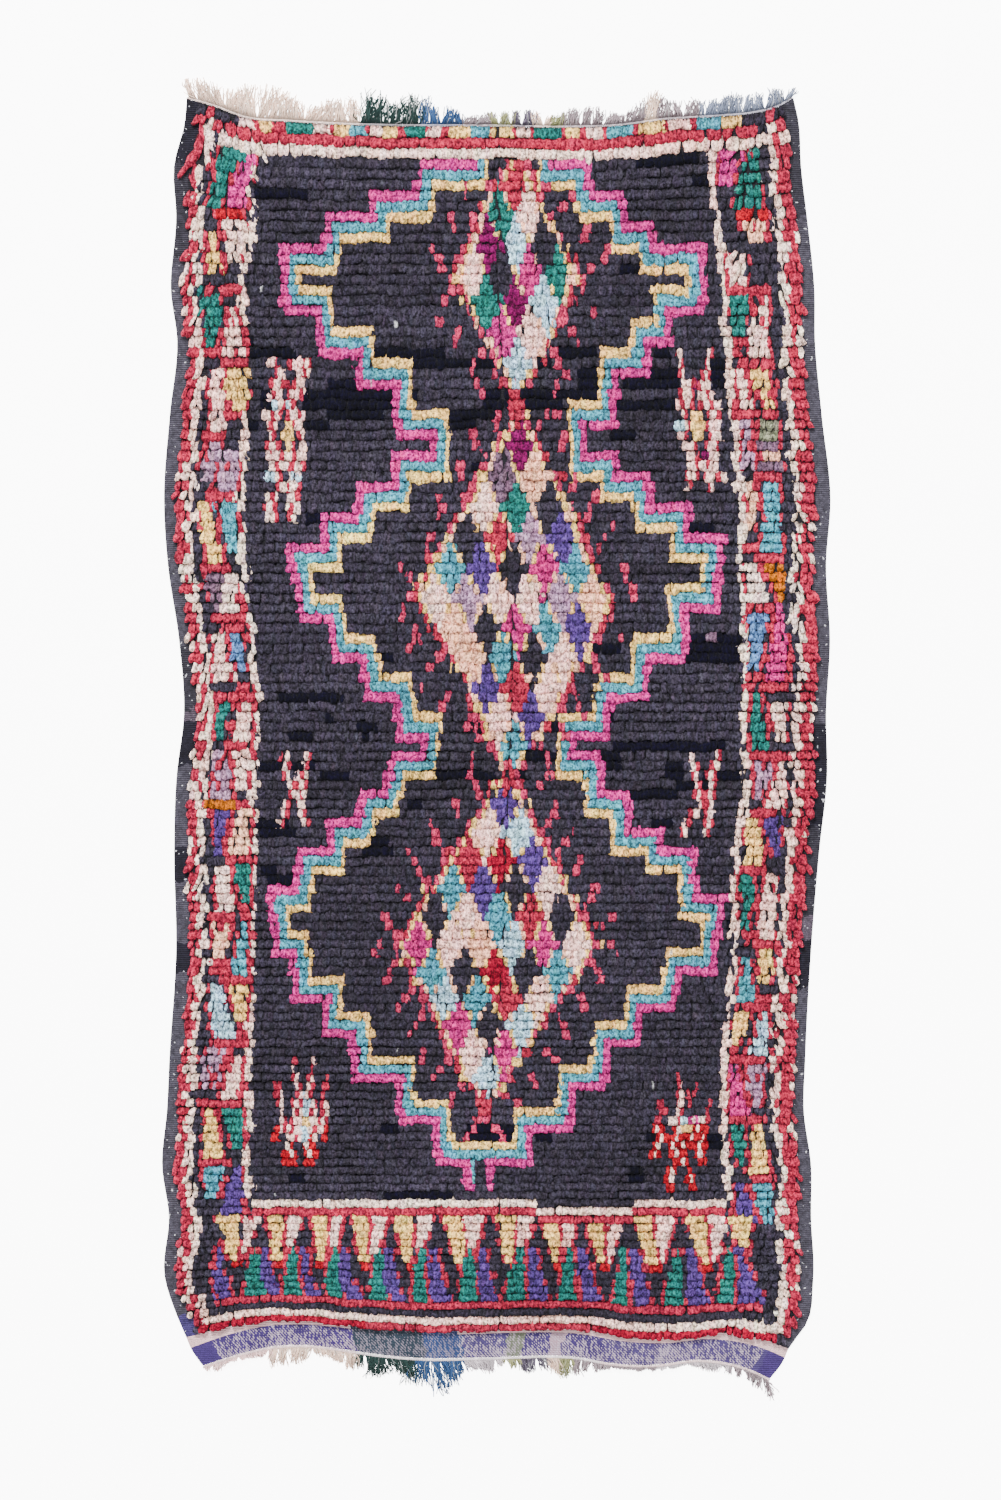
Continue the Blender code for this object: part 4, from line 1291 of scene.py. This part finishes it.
# The bed's colour is painted shade: near black, standing for the shade under the tufts.
LINT_COLOUR, PAINTED_BED_SHADE = (0.55, 0.55, 0.60), (0.010, 0.009, 0.013)
BED_EDGE = SELVEDGE * 1.04
LINT_LEVEL = 0.80         # how rare the specks of white lint on the selvedges are
GREY_WOOL, NIGHT_WOOL = (0.048, 0.044, 0.060), (0.009, 0.008, 0.015)
DARK_WOOL, MAUVE_WOOL = (0.024, 0.022, 0.031), (0.075, 0.058, 0.080)
PURPLE_WOOL = (0.050, 0.036, 0.130)
LEFT_LENGTHS = (
    (0, NIGHT_WOOL), (5, DARK_WOOL), (12, GREY_WOOL), (50, DARK_WOOL), (56.5, MAUVE_WOOL),
    (58, NIGHT_WOOL), (62.5, GREY_WOOL), (71, NIGHT_WOOL), (74.5, GREY_WOOL),
    (81.5, NIGHT_WOOL), (84.5, GREY_WOOL), (125, PURPLE_WOOL),
)
RIGHT_LENGTHS = (
    (0, DARK_WOOL), (9, GREY_WOOL), (58, NIGHT_WOOL), (69, DARK_WOOL), (78, MAUVE_WOOL),
    (81, NIGHT_WOOL), (86, GREY_WOOL),
)


def ramp_node(tree, factor, stops, interpolation="LINEAR"):
    """A colour ramp with the given stops."""
    node = add_node(tree, "ShaderNodeValToRGB")
    node.color_ramp.interpolation = interpolation
    elements = node.color_ramp.elements
    while len(elements) < len(stops):
        elements.new(0.5)
    for element, (place, colour) in zip(elements, stops):
        element.position = place
        element.color = (*colour, 1)
    tree.links.new(factor, node.inputs["Fac"])
    return node.outputs["Color"]


def mix_colours(tree, factor, first, second):
    """Two colours mixed by a factor; either may be a plain colour."""
    node = add_node(tree, "ShaderNodeMix", data_type="RGBA")
    tree.links.new(factor, node.inputs["Factor"])
    for socket, value in ((node.inputs[6], first), (node.inputs[7], second)):
        if isinstance(value, tuple):
            socket.default_value = (*value, 1)
        else:
            tree.links.new(value, socket)
    return node.outputs[2]


def wave_bands(tree, place, direction, scale, distortion):
    """Fine parallel bands, a little distorted."""
    node = add_node(tree, "ShaderNodeTexWave", wave_type="BANDS", bands_direction=direction)
    node.inputs["Scale"].default_value = scale
    node.inputs["Distortion"].default_value = distortion
    tree.links.new(place, node.inputs["Vector"])
    return node.outputs["Fac"]


def between(tree, value, low, high):
    """A mask that is 1 where a value lies between two bounds."""
    return maths(tree, "MULTIPLY", maths(tree, "GREATER_THAN", value, low),
                 maths(tree, "LESS_THAN", value, high))


def band_colours(tree, place, width_share, length_share):
    """The end band: its wefts, the pale ticks on them, and the pale stripe at the pile."""
    stray = spread(tree, noise_node(tree, place, 30.0, 3.0), 0.35, 0.65,
                   -WEFT_STRAY, WEFT_STRAY)
    weft = ramp_node(tree, maths(tree, "ADD", width_share, stray), WEFT_STOPS, "CONSTANT")
    streak_map = add_node(tree, "ShaderNodeMapping")
    streak_map.inputs["Scale"].default_value = STREAKS
    streak_map.inputs["Rotation"].default_value = (0, 0, STREAK_TURN)
    tree.links.new(place, streak_map.inputs["Vector"])
    streaks = noise_node(tree, streak_map.outputs["Vector"], 1.0, 1.0, 0.5)
    dots = wave_bands(tree, place, "DIAGONAL", 95.0, 2.0)
    tick_noise = maths(tree, "ADD", maths(tree, "MULTIPLY", streaks, STREAK_PART),
                       maths(tree, "MULTIPLY", dots, DOT_PART))
    band_level = spread(tree, length_share, pile_end, 1.0, *TICK_LEVELS)
    patchy = spread(tree, noise_node(tree, place, 14.0, 1.0), 0.3, 0.7, *TICK_PATCHES)
    ticks = maths(tree, "GREATER_THAN", tick_noise, maths(tree, "ADD", band_level, patchy))
    inside_ends = between(tree, width_share, *BAND_INNER)
    plain = between(tree, width_share, *PLAIN_PART)
    strength = spread(tree, plain, 0.0, 1.0, *TICK_STRENGTHS)
    ticks = maths(tree, "MULTIPLY", maths(tree, "MULTIPLY", ticks, inside_ends), strength)
    band = mix_colours(tree, ticks, weft, TICK_COLOUR)
    stripe_width = maths(tree, "MULTIPLY", 0.01, ramp_node(
        tree, width_share, [(at, (width,) * 3) for at, width in STRIPE_WIDTHS]))
    above_edge = maths(tree, "LESS_THAN", length_share,
                       maths(tree, "ADD", stripe_width, pile_end))
    stripe = maths(tree, "MULTIPLY", above_edge, maths(tree, "SUBTRACT", 1.0, plain))
    return mix_colours(tree, stripe, band, STRIPE_COLOUR)


def edge_colours(tree, place, width_share, length_share):
    """The selvedges, in lengths of several wools, and painted shade on the bed under the pile.
    """
    stray = spread(tree, noise_node(tree, place, 60.0, 2.0), 0.3, 0.7,
                   -EDGE_STRAY, EDGE_STRAY)
    stray_length = maths(tree, "ADD", length_share, stray)
    left_wool, right_wool = [
        ramp_node(tree, stray_length, [(float(row_down(row)), wool) for row, wool in table],
                  "CONSTANT")
        for table in (LEFT_LENGTHS, RIGHT_LENGTHS)]
    on_right = maths(tree, "GREATER_THAN", width_share, 0.5)
    edge = mix_colours(tree, on_right, left_wool, right_wool)
    tone = spread(tree, noise_node(tree, place, 120.0, 3.0), 0.3, 0.7, 0.55, 1.5)
    edge = scale_colour(tree, edge, tone)
    lint = maths(tree, "GREATER_THAN", noise_node(tree, place, 170.0, 0.0), LINT_LEVEL)
    edge = mix_colours(tree, lint, edge, LINT_COLOUR)
    # Painted shade: the bed under the pile is near black, for the shade between the tufts.
    in_shaded_bed = between(tree, width_share, BED_EDGE, 1 - BED_EDGE)
    return mix_colours(tree, in_shaded_bed, edge, PAINTED_BED_SHADE)


def make_ground_material():
    """Flat weave: charcoal selvedges, knot bed in painted shade and the many-coloured end
    band.
    """
    material = bpy.data.materials.new("flat_weave")
    material.use_nodes = True
    tree = material.node_tree
    shader = tree.nodes["Principled BSDF"]
    shares_map = add_node(tree, "ShaderNodeUVMap", uv_map="shares").outputs["UV"]
    parts = add_node(tree, "ShaderNodeSeparateXYZ")
    tree.links.new(shares_map, parts.inputs["Vector"])
    width_share, length_share = parts.outputs["X"], parts.outputs["Y"]
    place = add_node(tree, "ShaderNodeTexCoord").outputs["Object"]

    band = band_colours(tree, place, width_share, length_share)
    edge = edge_colours(tree, place, width_share, length_share)
    in_band = maths(tree, "GREATER_THAN", length_share, pile_end)
    base = mix_colours(tree, in_band, edge, band)

    fibres = add_node(tree, "ShaderNodeGroup", node_tree=fibre_group)
    fibres.inputs["Fibre Size"].default_value = 600.0
    fibres.inputs["Strength"].default_value = 0.3
    tree.links.new(base, fibres.inputs["Colour"])
    tree.links.new(fibres.outputs["Colour"], shader.inputs["Base Color"])

    weave = wave_bands(tree, place, "Y", 75.0, 1.2)
    relief = maths(tree, "ADD", weave, fibres.outputs["Height"])
    bump = add_node(tree, "ShaderNodeBump")
    bump.inputs["Distance"].default_value = 1.5 * MM
    tree.links.new(relief, bump.inputs["Height"])
    tree.links.new(bump.outputs["Normal"], shader.inputs["Normal"])
    shader.inputs["Roughness"].default_value = 0.92
    shader.inputs["Specular IOR Level"].default_value = 0.15
    shader.inputs["Sheen Weight"].default_value = 0.1
    return material


ground.data.materials.clear()
ground.data.materials.append(make_ground_material())
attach(ground, "root")
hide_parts("rug_cloth")

# %% [markdown]
# ## One yarn, and the fringes
#
# The fringes are the warps that were left when the rug was cut from the loom. One yarn is
# a thin tube, cut across into short stretches so that it can bend. It is modelled once,
# standing up with its foot at the origin, and every copy is then bent along its own path
# over the floor. Yarns are thickest near the twined edge, and they wander and cross.

# %% Model one yarn
YARN_CUTS = 5

bpy.ops.object.select_all(action="DESELECT")
bpy.ops.mesh.primitive_cylinder_add(vertices=3, radius=1, depth=1)
yarn = bpy.context.object
bpy.ops.object.mode_set(mode="EDIT")
bpy.ops.mesh.select_mode(type="EDGE")
bpy.ops.mesh.select_all(action="DESELECT")
bpy.ops.object.mode_set(mode="OBJECT")
for edge in yarn.data.edges:
    foot, head = [yarn.data.vertices[index].co.z for index in edge.vertices]
    edge.select = abs(head - foot) > 0.5
bpy.ops.object.mode_set(mode="EDIT")
bpy.ops.mesh.subdivide(number_cuts=YARN_CUTS)
bpy.ops.mesh.select_all(action="SELECT")
bpy.ops.mesh.quads_convert_to_tris()
bpy.ops.mesh.select_mode(type="VERT")
bpy.ops.object.mode_set(mode="OBJECT")
yarn_points, yarn_triangles = read_template(yarn)
yarn_points[:, 2] += 0.5
print("one yarn:", len(yarn_points), "points,", len(yarn_triangles), "triangles")

# %% Fringe tables: how long the yarns are along each end, and their colours
Stretch = namedtuple("Stretch", "across length_mm lean")
TOP_STRETCHES = [Stretch(*row) for row in (
    (0.00, 40, -.30), (.04, 47, -.05), (.09, 62, .10), (.20, 56, .05), (.30, 58, 0),
    (.37, 60, .10), (.41, 45, 0), (.47, 27, .10), (.60, 33, 0), (.65, 44, .05), (.71, 27, .10),
    (.76, 50, .05), (.82, 34, .10), (.88, 38, .05), (.97, 35, .05), (1, 28, 0),
)]
BOTTOM_STRETCHES = [Stretch(*row) for row in (
    (0, 9, 0), (.02, 19, 0), (.11, 17, 0), (.125, 36, -.10), (.26, 34, .05), (.33, 46, .10),
    (.39, 60, .10), (.42, 60, .15), (.45, 36, .15), (.50, 28, .10), (.53, 12, .10),
    (.56, 27, .10), (.62, 58, 0), (.66, 38, 0), (.70, 12, .05), (.85, 9, .05), (.88, 25, .05),
    (.92, 16, .05), (.97, 22, .15), (1, 54, .20),
)]
CREAM, PALE_PINK = (0.90, 0.66, 0.53), (0.86, 0.58, 0.56)
FOREST, BLUE = (0.020, 0.046, 0.042), (0.040, 0.095, 0.230)
MAUVE, OLIVE = (0.300, 0.235, 0.255), (0.300, 0.300, 0.145)
BLUE_GREY, DARK_MAUVE = (0.210, 0.240, 0.330), (0.120, 0.100, 0.140)
LILAC_WHITE = (0.620, 0.540, 0.580)
TOP_COLOURS = (
    (0, CREAM), (.285, FOREST), (.386, BLUE), (.455, MAUVE), (.505, OLIVE),
    (.539, DARK_MAUVE), (.572, CREAM), (.598, OLIVE), (.62, MAUVE), (.753, CREAM),
    (.775, MAUVE), (.845, BLUE_GREY),
)
BOTTOM_COLOURS = (
    (0, PALE_PINK), (.12, CREAM), (.272, FOREST), (.375, BLUE), (.46, LILAC_WHITE),
    (.53, OLIVE), (.56, DARK_MAUVE), (.605, CREAM), (.63, OLIVE), (.655, MAUVE),
    (.80, LILAC_WHITE), (.93, MAUVE),
)


def table_line(table, column, at):
    """Read a column of a table at some places, on straight lines between its rows."""
    return np.interp(at, [row[0] for row in table], [getattr(row, column) for row in table])


def colours_along(table, at):
    """The colour of each place along an end."""
    starts = [start for start, _ in table]
    colours = np.array([colour for _, colour in table])
    return colours[np.clip(np.searchsorted(starts, at, side="right") - 1, 0, len(starts) - 1)]


def bend_yarns(foot, heading, length, radius, curl, arch, draw):
    """Copies of the yarn bent over the floor: each array holds one value for each yarn."""
    count = len(length)
    t = yarn_points[:, 2][None]
    phase = draw.uniform(0, 2 * math.pi, (count, 1))
    turns = draw.uniform(2.5, 8.0, (count, 1))
    along = length[:, None] * t
    bend = (np.sin(phase + turns * t) - np.sin(phase)) * t ** 0.5
    aside = curl[:, None] * length[:, None] * bend
    ahead_x, ahead_y = np.cos(heading)[:, None], np.sin(heading)[:, None]
    thick = radius[:, None] * (1 - 0.30 * t)
    rise = (foot[:, 2][:, None] - thick) * (1 - t) ** 1.2 + thick
    rise = rise + arch[:, None] * np.sin(math.pi * np.clip(t * 1.1, 0, 1))
    across_yarn = yarn_points[:, 0][None] * thick
    x = foot[:, 0][:, None] + along * ahead_x - (aside + across_yarn) * ahead_y
    y = foot[:, 1][:, None] + along * ahead_y + (aside + across_yarn) * ahead_x
    z = np.maximum(rise + yarn_points[:, 1][None] * thick, 0.0)
    return np.stack([x, y, z], axis=-1)


# %% Build both fringes
YARN_RADIUS = 0.0014
YARN_PITCH = 0.00068
LOCKS = 30
LOCK_GATHER = 0.42        # how far the yarns of a lock lean together
LOCK_ROUND = 0.30         # how much shorter the yarns at a lock's sides are
CURLY_WARPS = (0.275, 0.386)          # shares of the width where the yarns curl most
CURLIER = 2.4             # how much more they curl there
FRINGE_LIMITS = (0.006, 0.075)        # the shortest and the longest yarns
LENGTH_SHARES = (0.72, 1.12)
LOCK_LENGTH, LOCK_LEAN, YARN_LEAN = 0.12, 0.12, 0.17      # how locks and yarns differ
PALE_SHARE = 0.09         # share of the yarns that are bleached
ARCH = 0.0090             # how high the highest yarns arch over the floor
LOW_SHADE = 0.60          # how dark the lowest yarns are, under the others
EDGE_OFFSET = 0.0045      # the yarns leave the twined edge this far out from the cloth
EDGE_HEIGHT = 0.0030


def make_fringe(name, down, outward, stretches, colour_table, seed, node):
    """The loose yarns along one end, as one piece."""
    draw = np.random.default_rng(seed)
    count = int(MEAN_WIDTH / YARN_PITCH)
    at = np.clip((np.arange(count) + draw.uniform(0, 1, count)) / count, 0.004, 0.996)
    x, y = cloth_point(at, np.full(count, float(down)))
    foot = np.stack([x, y + outward * EDGE_OFFSET, np.full(count, EDGE_HEIGHT)], 1)
    lock_place = at * LOCKS + 0.6 * np.sin(at * 47)
    lock = np.floor(lock_place).astype(int)
    off_lock = lock_place - lock - 0.5
    lock_draw = draw.normal(0, 1, (3, lock.max() + 2))[:, lock]
    length = table_line(stretches, "length_mm", at) * MM
    length = length * (1 + LOCK_LENGTH * lock_draw[0]) * draw.uniform(*LENGTH_SHARES, count)
    length = np.clip(length * (1 - LOCK_ROUND * (2 * off_lock) ** 2), *FRINGE_LIMITS)
    gather = np.clip(-LOCK_GATHER * off_lock / LOCKS * MEAN_WIDTH / length, -0.5, 0.5)
    lean = table_line(stretches, "lean", at) + LOCK_LEAN * lock_draw[1] + gather
    lean = lean + draw.normal(0, YARN_LEAN, count)
    heading = outward * (math.pi / 2 - lean)
    radius = YARN_RADIUS * draw.uniform(0.75, 1.25, count)
    curly = (at > CURLY_WARPS[0]) & (at < CURLY_WARPS[1])
    curl = np.abs(draw.normal(0.05, 0.05, count)) * np.where(curly, CURLIER, 1.0)
    arch = ARCH * draw.uniform(0, 1, count)
    colours = colours_along(colour_table, at + draw.normal(0, 0.002, count))
    pale = draw.random(count) < PALE_SHARE
    colours[pale] = colours[pale] * 0.5 + 0.27
    # Painted shade: yarns that lie low, under the others, are darker, and each yarn darkens
    # towards its foot at the twined edge.
    lit = LOW_SHADE + (1 - LOW_SHADE) * arch / ARCH
    colours = colours * (lit * draw.normal(1, 0.12, count))[:, None]
    foot_shade = np.clip(0.68 + 1.3 * yarn_points[:, 2], 0, 1)
    colours = np.clip(colours[:, None] * foot_shade[None, :, None], 0.01, 0.95)
    points = bend_yarns(foot, heading, length, radius, curl, arch, draw)
    piece = joined_piece(name, points, yarn_triangles, colours, fringe_material)
    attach(piece, "root")
    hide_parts(node)
    print(name, count, "yarns,", len(piece.data.polygons), "triangles")
    return piece


top_fringe = make_fringe("top_fringe", 0, 1, TOP_STRETCHES, TOP_COLOURS, 17,
                         "fringe_top")
bottom_fringe = make_fringe("bottom_fringe", 1, -1, BOTTOM_STRETCHES, BOTTOM_COLOURS, 29,
                            "fringe_bottom")

# %% [markdown]
# ## The twined edges
#
# Between the cloth and each fringe runs a twined cord, which keeps the last weft from
# slipping off. From above, twining is a line of slanting beads. One bead is modelled from
# a sphere and copied along both ends, each copy turned to lie along the cloth's edge.

# %% Model one bead of twining, and lay it along both ends
BEAD_PITCH = 0.0048
TWINED_WIDTH = 1.25       # about the width of the cloth at its ends
BEAD_TURN = 0.55          # how far each bead slants from the edge, in radians

bead = lying_sphere("Y")
bpy.ops.mesh.quads_convert_to_tris()
bpy.ops.mesh.normals_make_consistent(inside=False)
bpy.ops.object.mode_set(mode="OBJECT")
reshape(bead, lambda p: p.z < -0.2, grow=(1, 1, 0.5))
bead_points, bead_triangles = read_template(bead)


def make_twining(name, down, outward, width, height, colour_of, seed, node):
    """A line of slanting beads along one end of the cloth."""
    draw = np.random.default_rng(seed)
    count = int(TWINED_WIDTH / BEAD_PITCH)
    at = np.linspace(0.003, 0.997, count)
    x, y = cloth_point(at, np.full(count, float(down)))
    after_x, after_y = cloth_point(at + 0.002, np.full(count, float(down)))
    turn = np.arctan2(after_y - y, after_x - x) + BEAD_TURN + draw.normal(0, 0.08, count)
    length = BEAD_PITCH * 2.0 * draw.uniform(0.9, 1.15, count)
    thick = width * draw.uniform(0.85, 1.15, count)
    px = bead_points[None, :, 0] * length[:, None]
    py = bead_points[None, :, 1] * thick[:, None]
    pz = (bead_points[None, :, 2] + 0.5) * height
    cos, sin = np.cos(turn)[:, None], np.sin(turn)[:, None]
    points = np.stack([
        x[:, None] + px * cos - py * sin,
        y[:, None] + outward * width * 0.55 + px * sin + py * cos,
        np.broadcast_to(pz, px.shape),
    ], axis=-1)
    colours = np.clip(colour_of(at) * draw.normal(1, 0.08, (count, 1)), 0.01, 0.95)
    piece = joined_piece(name, points, bead_triangles, colours, fringe_material)
    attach(piece, "root")
    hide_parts(node)
    print(name, count, "beads")
    return piece


def top_twine_colour(at):
    """Pale twining with some of each warp's own colour."""
    return 0.55 * colours_along(TOP_COLOURS, at) + 0.45 * np.array(LILAC_WHITE)


def bottom_twine_colour(at):
    """Pale pink twining, whiter in the middle."""
    middle = ((at > 0.27) & (at < 0.70))[:, None]
    return np.where(middle, np.array((0.70, 0.62, 0.64)), np.array((0.70, 0.53, 0.53)))


top_twining = make_twining("top_twining", 0, 1, 0.0045, 0.0048, top_twine_colour, 5,
                           "fringe_top")
bottom_twining = make_twining("bottom_twining", 1, -1, 0.0062, 0.0052, bottom_twine_colour, 6,
                              "fringe_bottom")

# %% [markdown]
# ## The rug lies flat
#
# The ground weave is the cloth itself: it was woven flat at this size and lies at rest.
# The pile and the fringes lie on it.

# %% [markdown]
# ## Floor and light
#
# The rug lies on a plain pale floor under a pale sky. A wide key lamp stands beyond the
# top end, so that each row of pile shades the crease below it, which is what shows the
# rows from above. A weaker lamp beyond the bottom end keeps the shadows soft.

# %% Floor
FLOOR_GLOW = 8.0          # keeps the floor as pale as a studio's lit backdrop
FLOOR_SIZE, FLOOR_DROP = 14, 0.0004   # just under the rug, so that the two never touch
bpy.ops.object.select_all(action="DESELECT")
bpy.ops.mesh.primitive_plane_add(size=FLOOR_SIZE, location=(0, 0, -FLOOR_DROP))
floor = bpy.context.object
floor.name = "floor"
floor_material = bpy.data.materials.new("floor_paint")
floor_material.use_nodes = True
floor_tree = floor_material.node_tree
floor_shader = floor_tree.nodes["Principled BSDF"]
floor_place = add_node(floor_tree, "ShaderNodeTexCoord").outputs["Object"]
floor_tone = noise_node(floor_tree, floor_place, 3.0, 2.0)
floor_tree.links.new(
    ramp_node(floor_tree, floor_tone, ((0.3, (0.90, 0.90, 0.90)), (0.7, (0.93, 0.93, 0.93)))),
    floor_shader.inputs["Base Color"])
floor_shader.inputs["Roughness"].default_value = 0.8
floor_shader.inputs["Emission Color"].default_value = (1, 1, 1, 1)
floor_shader.inputs["Emission Strength"].default_value = FLOOR_GLOW
floor.data.materials.append(floor_material)

# %% Light
SKY_STRENGTH = 0.85
world = bpy.data.worlds.new("studio")
bpy.context.scene.world = world
world.use_nodes = True
sky = world.node_tree.nodes["Background"]
sky.inputs["Color"].default_value = (1.0, 1.0, 1.0, 1)
sky.inputs["Strength"].default_value = SKY_STRENGTH


def studio_lamp(name, place, size, power):
    """A square lamp that faces the middle of the rug."""
    bpy.ops.object.light_add(type="AREA", location=place)
    lamp = bpy.context.object
    lamp.name = name
    lamp.data.size = size
    lamp.data.energy = power
    lamp.rotation_euler = (-lamp.location).to_track_quat("-Z", "Y").to_euler()
    return lamp


studio_lamp("key_lamp", (-2.4, 8.5, 8.5), 3.5, 3600)
studio_lamp("fill_lamp", (2.5, -6.0, 8.0), 5.0, 620)

# %% Count the triangles and finish
pieces = [*pile_pieces, ground, top_fringe, bottom_fringe, top_twining, bottom_twining]
triangles = sum(len(face.vertices) - 2 for piece in pieces for face in piece.data.polygons)
print(triangles, "triangles in all")
